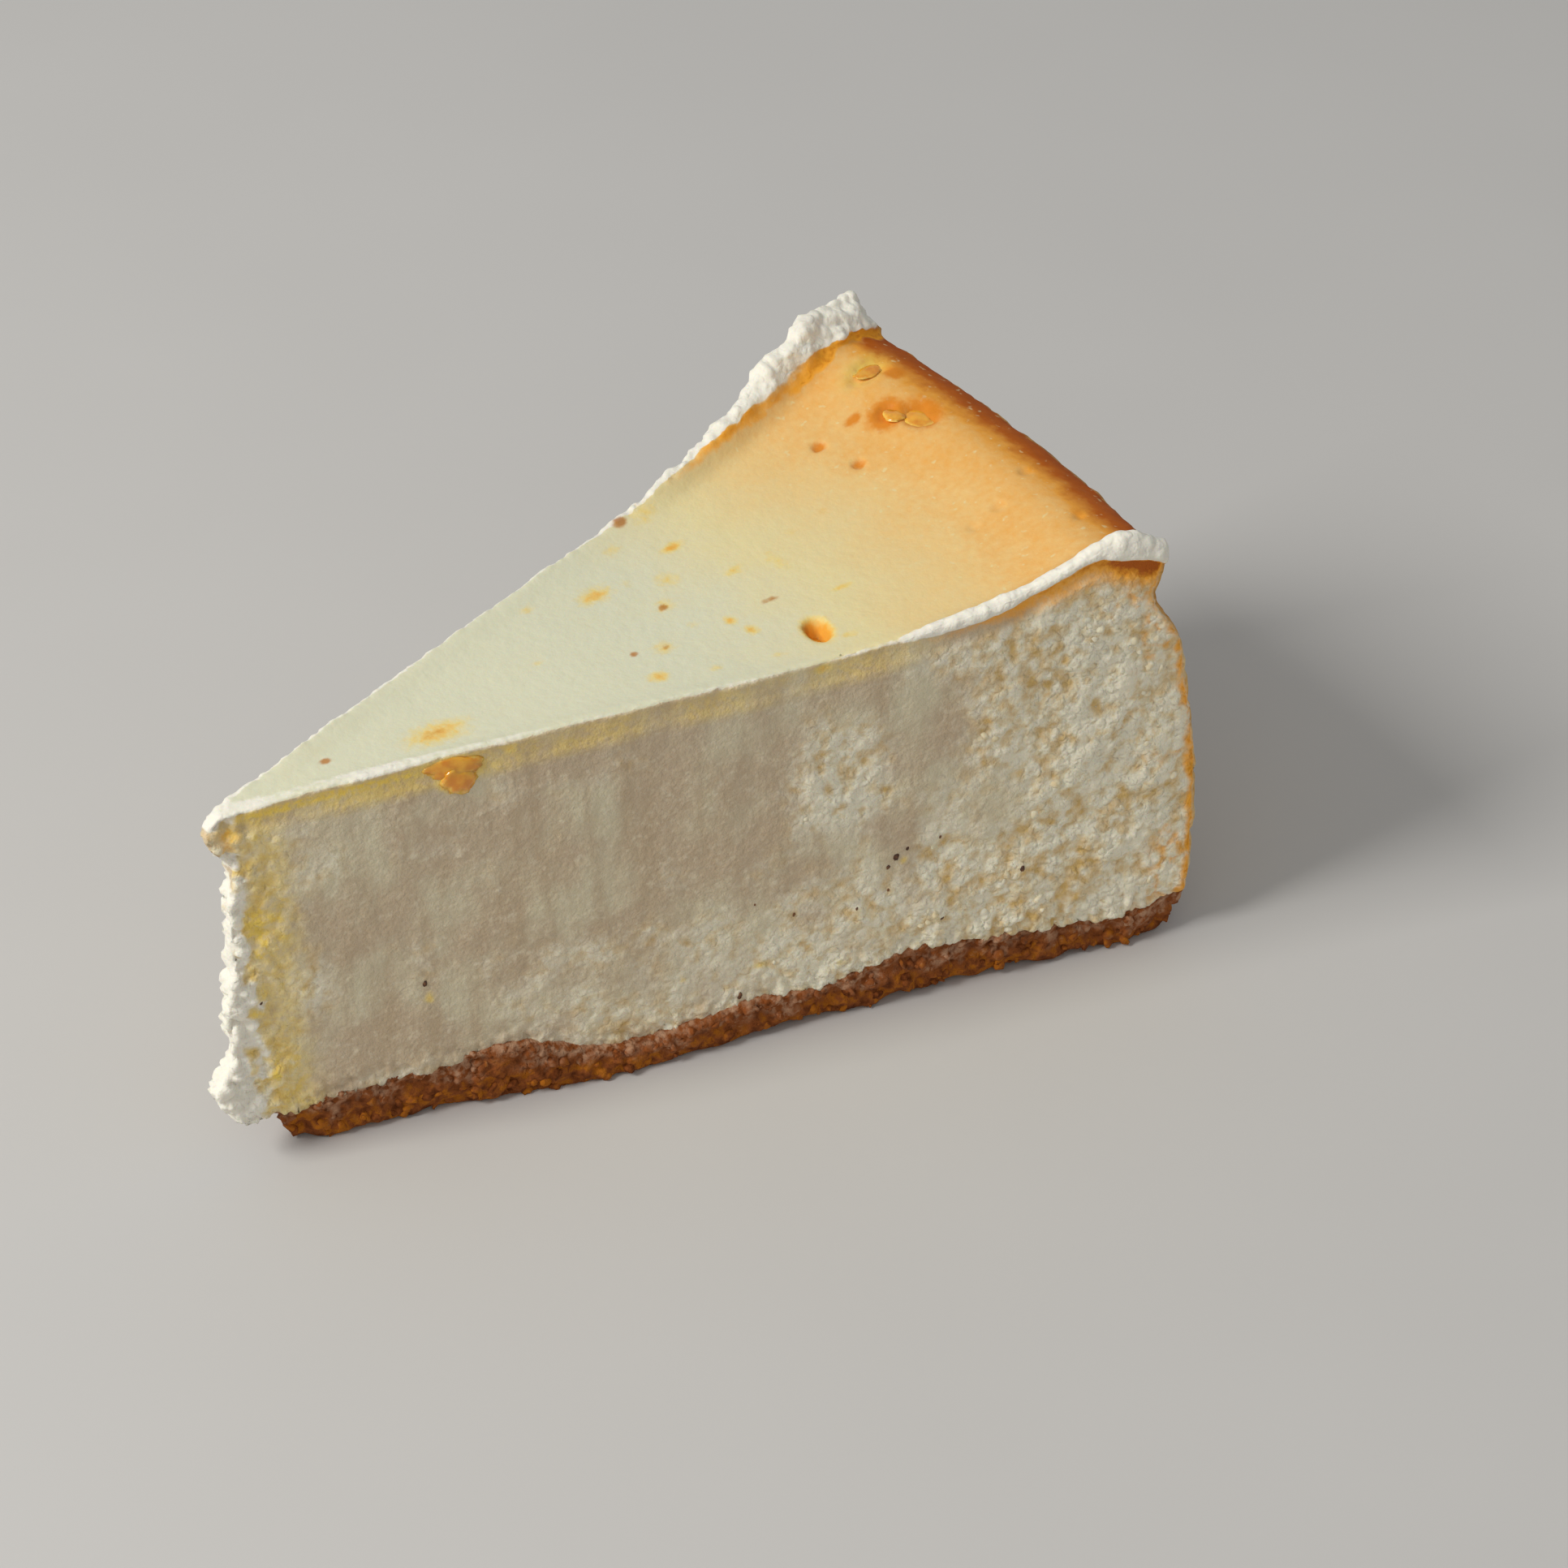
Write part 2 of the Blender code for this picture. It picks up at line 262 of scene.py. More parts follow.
class Places:
    """Where each corner of a mesh lies on the slice, and which way it faces."""

    def __init__(self, points, normals):
        from_centre = points - CAKE_CENTRE
        self.points = points
        self.radius = np.hypot(from_centre[:, 0], from_centre[:, 1])
        self.angle = np.arctan2(from_centre[:, 1], from_centre[:, 0])
        self.height = points[:, 2]
        self.inside_near = -(from_centre @ OUT_OF_NEAR_CUT)
        self.inside_far = -(from_centre @ OUT_OF_FAR_CUT)
        outwards = from_centre.copy()
        outwards[:, 2] = 0.0
        outwards /= np.maximum(self.radius, 1e-6)[:, None]
        facing_out = np.sum(normals * outwards, axis=1)
        self.under_edge = ease(-normals[:, 2], 0.10, 0.50) * (1.0 - ease(-normals[:, 2], 0.90, 0.99))
        self.top = ease(normals[:, 2], 0.35, 0.70) * ease(self.height, 46 * MM, 50 * MM)
        self.side = ease(facing_out, 0.35, 0.75) * ease(self.radius, 113 * MM, 119 * MM)
        not_top_or_side = (1.0 - self.top) * (1.0 - self.side)
        near = ease(normals @ OUT_OF_NEAR_CUT, 0.2, 0.6)
        far = ease(normals @ OUT_OF_FAR_CUT, 0.2, 0.6)
        at_near = 1.0 - ease(self.inside_near, 4 * MM, 7 * MM)
        at_far = 1.0 - ease(self.inside_far, 4 * MM, 7 * MM)
        self.near_cut = near * not_top_or_side * at_near
        self.far_cut = far * not_top_or_side * at_far
        self.below_near = self.edge_height(self.inside_near, np.max) - self.height
        self.below_far = self.edge_height(self.inside_far, np.max) - self.height
        over_near = self.height - self.edge_height(self.inside_near, np.min)
        over_far = self.height - self.edge_height(self.inside_far, np.min)
        self.over_foot = np.where(self.angle < 0.0, over_near, over_far)
        near_side = self.side_radius(self.inside_near) - self.radius
        far_side = self.side_radius(self.inside_far) - self.radius
        self.inside_side = np.where(self.angle < 0.0, near_side, far_side)

    def edge_height(self, inside, pick):
        """Height of a cut's top or bottom edge, at each corner's distance from the centre."""
        step = 1.5 * MM
        close = inside < 1.6 * MM
        stations, heights = [], []
        for station in np.arange(3.0 * MM, REACH, step):
            here = close & (np.abs(self.radius - station) < step)
            if here.any():
                stations.append(station)
                heights.append(pick(self.height[here]))
        return np.interp(self.radius, stations, heights)

    def side_radius(self, inside):
        """Distance of the outer side from the centre, at each corner's height."""
        step = 1.0 * MM
        close = inside < 2.0 * MM
        stations, radii = [], []
        for station in np.arange(0.0, TALLEST, step):
            here = close & (np.abs(self.height - station) < step)
            if here.any():
                stations.append(station)
                radii.append(self.radius[here].max())
        return np.interp(self.height, stations, radii)

    def spot(self, radius, angle, length, width):
        """A soft spot on the top, length along the radius and width across it, in mm."""
        along = (self.radius - radius * MM) / (length * MM / 2)
        across = self.radius * (self.angle - math.radians(angle)) / (width * MM / 2)
        return np.exp(-(along**2 + across**2)) * self.top

    def cut_spot(self, radius, height, width, tall):
        """A soft spot on the near cut, in mm."""
        along = (self.radius - radius * MM) / (width * MM / 2)
        up = (self.height - height * MM) / (tall * MM / 2)
        return np.exp(-(along**2 + up**2)) * self.near_cut


def strongest(spot, marks):
    """How strong the strongest mark is at each corner. Each mark ends with its strength."""
    return np.maximum.reduce([strength * spot(*place) for *place, strength in marks])


def node_copy(node, name):
    """A merged copy of a CAD node's mesh as a new object, in quads where it can be."""
    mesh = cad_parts[node].data.copy()
    mesh.name = name
    mesh.materials.clear()
    shape = bmesh.new()
    shape.from_mesh(mesh)
    bmesh.ops.remove_doubles(shape, verts=shape.verts[:], dist=1e-6)
    bmesh.ops.join_triangles(
        shape,
        faces=shape.faces[:],
        angle_face_threshold=math.radians(40.0),
        angle_shape_threshold=math.radians(60.0),
    )
    bmesh.ops.recalc_face_normals(shape, faces=shape.faces[:])
    shape.to_mesh(mesh)
    shape.free()
    return place_in_scene(name, mesh)


def place_in_scene(name, mesh):
    """Puts a mesh in the scene as an object."""
    obj = bpy.data.objects.new(name, mesh)
    bpy.context.scene.collection.objects.link(obj)
    return obj


def apply_modifiers(obj):
    """Turns what the object's modifiers make into its plain mesh, and removes them."""
    view = bpy.context.evaluated_depsgraph_get()
    made = bpy.data.meshes.new_from_object(obj.evaluated_get(view), depsgraph=view)
    obj.modifiers.clear()
    made.name = obj.name
    obj.data = made
    return obj


def remeshed(obj, grain):
    """Smooths the object's facets away and gives it even faces one grain across."""
    smooth = obj.modifiers.new("smooth facets", "SUBSURF")
    smooth.levels = smooth.render_levels = 2
    even = obj.modifiers.new("even faces", "REMESH")
    even.mode = "VOXEL"
    even.voxel_size = grain
    return apply_modifiers(obj)


def corners(mesh):
    """The mesh's corners and their normals."""
    points = np.zeros(len(mesh.vertices) * 3)
    mesh.vertices.foreach_get("co", points)
    normals = np.zeros(len(mesh.vertices) * 3)
    mesh.vertex_normals.foreach_get("vector", normals)
    return points.reshape(-1, 3), normals.reshape(-1, 3)


def move_corners(mesh, points):
    """Moves the mesh's corners, and keeps them inside the CAD's box."""
    low, high = CAD_BOX
    kept = np.clip(points, np.array(low), np.array(high))
    mesh.vertices.foreach_set("co", kept.ravel())
    mesh.update()


def paint(mesh, name, values):
    """Keeps a number between 0 and 1 on each corner, for the material to read."""
    layer = mesh.attributes.new(name, "FLOAT", "POINT")
    layer.data.foreach_set("value", np.clip(values, 0.0, 1.0).astype(np.float32))


def crumbliness(at):
    """How crumbly each corner of the cuts is: 0 where the knife wiped it, 1 where it broke."""
    p, r, z = at.points, at.radius, at.height
    wander = uneven(p, 13 * MM)
    broken = uneven(p, 5 * MM, shift=3.1)
    outer = ease(r + 9 * MM * wander, 84 * MM, 102 * MM)
    patch = np.exp(-(((r - 83 * MM) / (10 * MM)) ** 2) - ((z - 38 * MM) / (11 * MM)) ** 2)
    low = (1.0 - ease(z + 7 * MM * wander, 14 * MM, 32 * MM)) * ease(r, 18 * MM, 50 * MM)
    low *= 0.50 + 0.25 * ease(r, 55 * MM, 75 * MM)
    foot = 0.60 * (1.0 - ease(z + 2 * MM * broken, 8 * MM, 15 * MM))
    foot *= 0.45 + 0.55 * ease(r, 38 * MM, 62 * MM)
    tipward = 0.65 * (1.0 - ease(r + 5 * MM * wander, 7 * MM, 20 * MM))
    wiped = np.exp(-(((r - 94 * MM) / (7 * MM)) ** 2) - ((z - 42 * MM) / (7 * MM)) ** 2)
    wiped += np.exp(-(((r - 102 * MM) / (6 * MM)) ** 2) - ((z - 28 * MM) / (7 * MM)) ** 2)
    crumbly = np.maximum.reduce([outer, patch, low, foot, tipward, np.full(len(r), 0.12)])
    crumbly = np.clip(crumbly + 0.40 * broken, 0.0, 1.0)
    crumbly = np.clip(crumbly - 0.7 * wiped, 0.0, 1.0) * cut_share(at)
    lip = 2.0 * MM + 1.5 * MM * ease(r, 88 * MM, 115 * MM)
    return crumbly * ease(np.where(at.angle < 0.0, at.below_near, at.below_far), lip, 2.0 * lip)


def far_ridge_width(radius):
    """How far the white ridge along the far cut reaches in over the top."""
    return (0.35 + 0.70 * ease(radius, 66 * MM, 84 * MM) + 2.7 * ease(radius, 88 * MM, 122 * MM)) * MM


def filling_relief(at):
    """How far each corner of the filling stands out of its smooth shape, and the curd on it."""
    p, r, z = at.points, at.radius, at.height
    cut = cut_share(at)
    crumbly = crumbliness(at)
    big = granules(p, 2.8 * MM, shift=1.7)
    small = granules(p, 1.25 * MM, shift=5.3)
    curd = 0.55 * big + 0.45 * small
    coarse = uneven(p, 6 * MM, shift=3.9)
    grit = uneven(p, 0.9 * MM, shift=4.6)
    pockets = 0.75 * ease(uneven(p, 2.3 * MM, shift=6.1) + 0.5 * grit, 0.22, 0.75) * ease(crumbly, 0.3, 0.8)
    ragged_torn = strongest(at.cut_spot, TORN_POCKETS)
    ragged_torn *= 1.0 + 0.8 * uneven(p, 1.3 * MM, shift=4.1) + 0.6 * grit
    pockets = np.maximum(pockets, ease(ragged_torn, 0.10, 1.0))
    lumps = strongest(at.cut_spot, WHITE_LUMPS)
    relief = crumbly * (0.62 * MM * (curd - 0.66) + 0.45 * MM * coarse + 0.16 * MM * grit)
    relief += 0.7 * MM * lumps - 0.30 * MM * pockets
    streak = uneven(p, 4.5 * MM, stretch=(1.0, 1.0, 3.5), shift=9.2)
    fold = uneven(p, 8 * MM, shift=4.7)
    pebbled = uneven(p, 1.6 * MM, shift=7.7)
    relief += cut * (1.0 - crumbly) * MM * (0.16 * streak + 0.20 * fold + 0.12 * pebbled)

    edge = np.exp(-((r / (8 * MM)) ** 2))
    knobs = granules(p, 1.8 * MM, shift=3.6)
    relief += edge * cut * MM * (1.5 * (knobs - 0.68) + 0.9 * uneven(p, 4 * MM, shift=4.9))
    relief += edge * cut * (0.35 * MM) * (small - 0.6)
    far_width = far_ridge_width(r)
    far_crag = band(at.inside_far, -2 * MM, far_width, 0.8 * MM) * ease(r, 66 * MM, 88 * MM)
    far_crag *= ease(z, 52 * MM, 55 * MM)
    chunks = 0.9 * uneven(p, 5.5 * MM, shift=7.1) + 0.65 * uneven(p, 2.9 * MM, shift=8.3)
    chunks += 0.55 * (granules(p, 1.5 * MM, shift=9.4) - 0.72) + 0.26 * grit
    relief += far_crag * MM * (chunks + 0.15)
    far_thin = band(at.inside_far, -2 * MM, 0.6 * MM, 0.6 * MM) * ease(-at.below_far, -1.5 * MM, 0)
    nicks = 0.22 * uneven(p, 3.2 * MM, shift=6.9) + 0.20 * uneven(p, 1.2 * MM, shift=2.8)
    relief += far_thin * (1.0 - far_crag) * MM * nicks

    wide = ease(r, 88 * MM, 97 * MM)
    flap = ease(r, 113 * MM, 120 * MM)
    lip_depth = (0.5 + 1.0 * wide + 1.4 * flap) * MM
    lip = 1.0 - ease(at.below_near, lip_depth, lip_depth + 0.7 * MM)
    lip *= 1.0 - ease(at.inside_near, (0.5 + 0.5 * wide) * MM, (1.2 + 0.6 * wide) * MM)
    wavy = 0.18 * MM * uneven(p, 5 * MM, shift=1.3)
    rough = 0.20 * MM * uneven(p, 1.3 * MM, shift=2.6) + 0.15 * MM * uneven(p, 2.6 * MM, shift=5.2)
    rough += 0.14 * MM * grit
    relief += lip * (0.10 * MM * wide + wavy + (0.25 + 0.75 * wide) * rough + 0.25 * MM * flap)
    under_lip = lip_depth + 0.9 * MM
    drawn_in = band(at.below_near, under_lip, under_lip + 1.4 * MM, 1.0 * MM) * at.near_cut
    relief -= (0.25 + 0.2 * wide + 0.2 * flap) * MM * drawn_in * (1.0 - 0.5 * crumbly)

    ragged = (1.0 - ease(at.over_foot, 1.5 * MM, 4.0 * MM)) * cut
    relief += ragged * (0.7 * MM * (small - 0.62) + 0.55 * MM * uneven(p, 2.4 * MM, shift=5.9))
    relief += at.under_edge * (r > 8 * MM) * 0.45 * MM
    rubbed = 0.20 * uneven(p, 2.6 * MM) + 0.25 * uneven(p, 6 * MM) + 0.12 * grit
    rubbed -= 0.35 * ease(uneven(p, 2.0 * MM, shift=3.7), 0.30, 0.55)
    relief += at.side * MM * rubbed
    relief += at.top * 0.05 * MM * uneven(p, 4 * MM, shift=2.2)
    ragged_rim = 1.0 + 0.45 * uneven(p, 1.7 * MM, shift=6.3)
    for radius, angle, length, width, depth in HOLLOWS:
        relief -= ease(at.spot(radius, angle, length, width) * ragged_rim, 0.12, 0.80) * depth * MM
    return relief, crumbly, curd, pockets, lumps


def filling_paint(mesh, at, crumbly, curd, pockets, lumps):
    """Keeps on the mesh where the filling is skin, cream, scorched, yellow or stained."""
    p, r, z = at.points, at.radius, at.height
    wander = uneven(p, 9 * MM, shift=4.4)
    frayed = uneven(p, 2.0 * MM, shift=8.8)
    far_off = np.clip(at.inside_far / (30 * MM), 0.0, 1.0)
    shaped = r + 3.0 * MM * wander + 4.0 * MM * (0.5 - far_off)
    baked = 0.55 * ease(shaped, 62 * MM, 114 * MM)
    baked += 0.45 * ease(r + 1.0 * MM * wander + 1.0 * MM * frayed, 115.5 * MM, 125.5 * MM)
    paint(mesh, "baked", baked)
    paint(mesh, "skin", at.top)
    paint(mesh, "side", at.side)
    paint(mesh, "crumbly", crumbly)
    paint(mesh, "curd", curd)
    paint(mesh, "pocket", pockets)
    paint(mesh, "lump", lumps)

    wide = ease(r, 86 * MM, 97 * MM)
    tipwards = 1.0 - ease(r, 22 * MM, 52 * MM)
    thick = (0.35 + 1.15 * wide + 1.6 * ease(r, 113 * MM, 121 * MM)) * MM + 0.22 * MM * frayed
    # Along the near top edge: the real white ridge further out, and towards the tip a thin white line that
    # is a painted highlight on the rounded edge
    near_edge = (0.35 + 0.85 * wide + 0.9 * tipwards) * MM + 0.25 * MM * frayed
    near_ridge_and_highlight = band(at.inside_near, -3 * MM, near_edge, (0.4 + 1.2 * tipwards) * MM)
    near_ridge_and_highlight *= 1.0 - ease(at.below_near, thick, thick + 0.6 * MM)
    near_ridge_and_highlight *= 0.50 + 0.50 * wide + 0.25 * (1.0 - wide) * wander
    far_edge = far_ridge_width(r) * (1.0 + 0.30 * frayed)
    far_thick = (0.6 + 1.6 * wide + 1.4 * ease(r, 108 * MM, 121 * MM)) * MM + 0.4 * MM * frayed
    far_cream = band(at.inside_far, -3 * MM, far_edge, 0.4 * MM)
    far_cream *= 1.0 - ease(at.below_far, far_thick, far_thick + 0.8 * MM)
    far_cream *= 0.70 + 0.30 * ease(r, 60 * MM, 80 * MM)
    tip_cream = 1.0 - ease(r + 2.0 * MM * frayed + 4.0 * MM * (0.75 - curd), 3.0 * MM, 8.0 * MM)
    flap = band(z, 48.0 * MM, 51.5 * MM, 0.8 * MM) * (1.0 - ease(r + MM * frayed, 3.5 * MM, 7.0 * MM))
    cream = np.maximum.reduce([near_ridge_and_highlight, far_cream, 0.8 * tip_cream * (1.0 - 0.8 * flap)])
    # The cream mask holds the white ridges and the tip, and also the painted highlight along the near top
    # edge
    paint(mesh, "cream", cream)

    reach = (1.6 + 2.2 * ease(r, 92 * MM, 114 * MM)) * MM + 0.9 * MM * wander
    strength = 0.78 * ease(r, 84 * MM, 106 * MM) + 0.50 * ease(r, 113 * MM, 121 * MM)
    near_under = np.maximum(at.below_near - thick, 0.0)
    near_scorch = np.exp(-((near_under / reach) ** 2)) * strength * at.near_cut
    near_scorch *= 1.0 + 0.20 * uneven(p, 3.5 * MM, shift=7.9)
    far_under = np.maximum(at.below_far - far_thick, 0.0)
    far_scorch = 0.8 * np.exp(-((far_under / reach) ** 2)) * strength * at.far_cut
    foot = band(at.inside_far, far_edge, far_edge + 0.8 * MM, 0.8 * MM) * at.top
    foot *= ease(r, 78 * MM, 100 * MM)
    corner = (1.0 - ease(at.inside_side + 0.9 * MM * frayed, 0.5 * MM, 2.4 * MM)) * cut_share(at)
    tinted = (1.0 - ease(at.inside_side, 2.0 * MM, 12.0 * MM)) * cut_share(at)
    tinted *= ease(wander + 0.7 * frayed, -0.15, 0.35) * (1.0 - ease(curd, 0.55, 0.85))
    groove = band(z, 49.5 * MM, 57 * MM, 2 * MM) * (1.0 - ease(at.inside_side, 0.5 * MM, 3.5 * MM))
    groove *= ease(0.5 + frayed + wander, 0.2, 0.6) * cut_share(at)
    toast = 0.26 * ease(z + 2 * MM * wander, 40 * MM, 54 * MM) - 0.05 * ease(z, 12 * MM, 26 * MM)
    paint(mesh, "toast", 0.2 + toast)
    edges = [0.75 * foot, 0.78 * corner, 0.5 * tinted, 0.5 * groove, 0.32 * flap * (1.0 + frayed)]
    scorch = np.maximum.reduce([near_scorch, far_scorch, *edges])
    paint(mesh, "scorch", scorch * (1.0 - cream))

    lively = np.clip(0.85 + 0.9 * wander + 0.5 * frayed, 0.0, 1.0)
    under_skin = band(at.below_near, 0.9 * MM, 3.2 * MM, 2.2 * MM) * at.near_cut
    under_skin *= (1.0 - 0.2 * ease(r, 30 * MM, 60 * MM)) * (1.0 - ease(r, 84 * MM, 98 * MM))
    line = band(at.below_near, 1.1 * MM, 1.9 * MM, 0.6 * MM) * band(r, 9 * MM, 26 * MM, 5 * MM) * at.near_cut
    far_skin = band(at.below_far, 0.9 * MM, 3.2 * MM, 2.2 * MM) * at.far_cut
    far_skin *= 1.0 - ease(r, 84 * MM, 96 * MM)
    tip_band = band(r + 1.5 * MM * frayed, 5.0 * MM, 8.5 * MM, 4.5 * MM) * cut_share(at)
    blotches = ease(wander + 0.8 * frayed, 0.0, 0.35) * (1.0 - ease(curd, 0.65, 0.9))
    tip_band *= 0.55 + 0.45 * blotches
    tip_foot = 0.75 * (1.0 - ease(r, 9 * MM, 15 * MM)) * (1.0 - ease(z + MM * frayed, 7 * MM, 15 * MM))
    tip_foot *= cut_share(at) * (0.5 + 0.5 * blotches)
    dimple = strongest(at.spot, (YELLOW_DIMPLE,))
    bands = [0.62 * under_skin * lively, 0.55 * far_skin * lively]
    yolk = np.maximum.reduce([*bands, tip_band, tip_foot, line])
    paint(mesh, "yolk", np.maximum(yolk * (1.0 - 0.8 * cream), dimple))

    amber = np.maximum(strongest(at.spot, AMBER_MARKS), strongest(at.cut_spot, CUT_MARKS))
    paint(mesh, "amber", amber)
    # Brown stains, and painted shade on the left wall of the big hole
    paint(mesh, "brown", strongest(at.spot, BROWN_MARKS))


def cut_share(at):
    """1 on either cut."""
    return np.maximum(at.near_cut, at.far_cut)


def fill_in(tree, made, inputs):
    """Gives each of a node's inputs a value or another node's output."""
    for key, value in inputs.items():
        if isinstance(value, bpy.types.NodeSocket):
            tree.links.new(value, made.inputs[key])
        else:
            made.inputs[key].default_value = value


def node(tree, kind, inputs=None, **settings):
    """Adds a node with its settings and inputs."""
    made = tree.nodes.new(kind)
    for key, value in settings.items():
        setattr(made, key, value)
    fill_in(tree, made, inputs or {})
    return made


def mixed(tree, share, first, second):
    """The first colour, going over to the second as the share goes from 0 to 1."""
    first = first if isinstance(first, bpy.types.NodeSocket) else (*first, 1.0)
    second = second if isinstance(second, bpy.types.NodeSocket) else (*second, 1.0)
    made = node(tree, "ShaderNodeMix", {0: share, 6: first, 7: second}, data_type="RGBA")
    return made.outputs[2]


def worked(tree, operation, first, second):
    """One step of arithmetic."""
    made = node(tree, "ShaderNodeMath", {0: first, 1: second}, operation=operation)
    return made.outputs[0]


def plus(tree, first, second):
    """The sum of two values."""
    return worked(tree, "ADD", first, second)


def times(tree, first, second):
    """The product of two values."""
    return worked(tree, "MULTIPLY", first, second)


def stretched(tree, vector, share):
    """A vector made longer or shorter."""
    made = node(tree, "ShaderNodeVectorMath", {0: vector, "Scale": share}, operation="SCALE")
    return made.outputs[0]


def any_way(tree, noisy, share):
    """Turns a noise's colour into a push that goes any way."""
    wanted = {0: noisy.outputs["Color"], 1: (0.5, 0.5, 0.5)}
    centred = node(tree, "ShaderNodeVectorMath", wanted, operation="SUBTRACT")
    return stretched(tree, centred.outputs[0], share)


def spread(tree, value, low, high, to_low=0.0, to_high=1.0):
    """Takes the value's range from low to high over to another range, smoothly."""
    ends = {"Value": value, "From Min": low, "From Max": high}
    ends.update({"To Min": to_low, "To Max": to_high})
    made = node(tree, "ShaderNodeMapRange", ends, interpolation_type="SMOOTHSTEP")
    return made.outputs["Result"]


def mottle(tree, size, detail=2.0, stretch=(1.0, 1.0, 1.0), shift=0.0):
    """Soft noise in the piece's own metres, with spots about one size apart."""
    place = node(tree, "ShaderNodeTexCoord").outputs["Object"]
    scale = tuple(1.0 / part for part in stretch)
    laid = node(tree, "ShaderNodeMapping", {"Vector": place, "Scale": scale})
    laid.inputs["Location"].default_value = (shift, shift, shift)
    wanted = {"Vector": laid.outputs[0], "Scale": 1.0 / size, "Detail": detail}
    return node(tree, "ShaderNodeTexNoise", wanted).outputs[0]


def painted(tree, name):
    """A number kept on the piece's corners."""
    return node(tree, "ShaderNodeAttribute", attribute_name=name).outputs["Fac"]


def rescaled(tree, value, times, plus):
    """The value times one number, plus another."""
    made = node(tree, "ShaderNodeMath", {0: value, 1: times, 2: plus}, operation="MULTIPLY_ADD")
    return made.outputs[0]


def fray(tree, fine):
    """Fine noise around 0, to fray the edge of a painted patch."""
    return rescaled(tree, fine, 0.5, -0.25)


def crumb_cells(tree, size):
    """Rounded crumbs about one size across: 0.45 on each crumb, falling to 0 between them."""
    place = node(tree, "ShaderNodeTexCoord").outputs["Object"]
    wander = node(tree, "ShaderNodeTexNoise", {"Vector": place, "Scale": 0.8 / size, "Detail": 2.0})
    push = any_way(tree, wander, 1.4 * size)
    moved = node(tree, "ShaderNodeVectorMath", {0: place, 1: push}, operation="ADD")
    cells = node(
        tree,
        "ShaderNodeTexVoronoi",
        {"Vector": moved.outputs[0], "Scale": 1.0 / size, "Smoothness": 0.25},
        feature="SMOOTH_F1",
    )
    return spread(tree, cells.outputs["Distance"], 0.75, 0.15, 0.0, 0.45)


def ramp(tree, value, stops):
    """A colour ramp through (place, colour) stops."""
    made = node(tree, "ShaderNodeValToRGB", {"Fac": value})
    line = made.color_ramp
    line.elements.remove(line.elements[1])
    line.elements[0].position = stops[0][0]
    line.elements[0].color = (*stops[0][1], 1.0)
    for place, colour in stops[1:]:
        line.elements.new(place).color = (*colour, 1.0)
    return made.outputs[0]


def new_material(name):
    """An empty material with its Principled shader."""
    material = bpy.data.materials.new(name)
    material.use_nodes = True
    return material, material.node_tree, material.node_tree.nodes["Principled BSDF"]


def bumped(tree, height, distance, strength=1.0, under=None):
    """A bump from a height, over another bump if there is one."""
    wanted = {"Height": height, "Distance": distance, "Strength": strength}
    if under is not None:
        wanted["Normal"] = under
    return node(tree, "ShaderNodeBump", wanted).outputs[0]


# Colours, in linear light
PALE_TOP = (0.74, 0.73, 0.53)
CREAM_TOP = (0.82, 0.71, 0.38)
GOLD_TOP = (0.86, 0.59, 0.24)
DEEP_GOLD = (0.85, 0.37, 0.05)
BROWN_RIM = (0.54, 0.125, 0.006)
DARK_RIM = (0.41, 0.080, 0.004)
CUT_BEIGE = (0.615, 0.488, 0.335)
CUT_PALE = (0.725, 0.645, 0.455)
CUT_TAN = (0.565, 0.434, 0.282)
CURD_WHITE = (0.94, 0.88, 0.69)
CURD_PALE = (0.87, 0.76, 0.52)
# Tan and ochre for the painted shade in the cut's hollows; the tan also tints loose curd
TAN_AND_HOLLOW_SHADE = (0.80, 0.62, 0.36)
SHADED_HOLLOW_OCHRE = (0.72, 0.49, 0.18)
SIDE_CREAM = (0.84, 0.70, 0.44)
SIDE_TAN = (0.80, 0.58, 0.29)
SIDE_GOLD = (0.72, 0.39, 0.11)
SIDE_BROWN = (0.40, 0.14, 0.025)
# White of the ridges, also used for the painted highlight along the near top edge
RIDGE_AND_HIGHLIGHT_WHITE = (0.92, 0.88, 0.76)
SCORCH_TAN = (0.86, 0.60, 0.30)
SCORCH_ORANGE = (1.0, 0.43, 0.03)
SCORCH_BROWN = (0.50, 0.12, 0.010)
YOLK_YELLOW = (0.93, 0.67, 0.14)
YELLOW_STAIN = (0.88, 0.66, 0.20)
AMBER_STAIN = (0.90, 0.40, 0.02)
BURNT_AMBER = (0.74, 0.24, 0.015)
BROWN_STAIN_AND_SHADE = (0.50, 0.19, 0.03)
SYRUP_THIN_AND_GLINT = (1.0, 0.62, 0.13)
SYRUP_LIGHT = (0.96, 0.44, 0.03)
SYRUP_DEEP = (0.80, 0.28, 0.01)
SPECK_BLACK = (0.06, 0.022, 0.010)
SPECK_BROWN = (0.20, 0.08, 0.025)
CRUMB_DARK = (0.09, 0.020, 0.003)
CRUMB_BROWN = (0.28, 0.080, 0.018)
CRUMB_ORANGE = (0.44, 0.140, 0.010)
CRUMB_PALE = (0.56, 0.33, 0.20)
FLOOR_GREY = (0.58, 0.565, 0.54)
FLOOR_PALE = (0.61, 0.595, 0.57)

# The shine of baked cheese and of crumb, and how far red, green and blue light go into cheese
CHEESE_SHINE = 0.09
CRUMB_SHINE = 0.15
CHEESE_GLOW = (1.0, 0.62, 0.30)


def give_look(tree, shader, colour, rough, normal, specular=0.5):
    """Gives the shader its colour and bump, and how rough and how shiny it is."""
    fill_in(tree, shader, {"Base Color": colour, "Roughness": rough, "Normal": normal})
    shader.inputs["Specular IOR Level"].default_value = specular


def let_light_in(shader, weight, radius, scale):
    """Lets some light into the material, each of its colours as far as radius says."""
    shader.inputs["Subsurface Weight"].default_value = weight
    shader.inputs["Subsurface Radius"].default_value = radius
    shader.inputs["Subsurface Scale"].default_value = scale


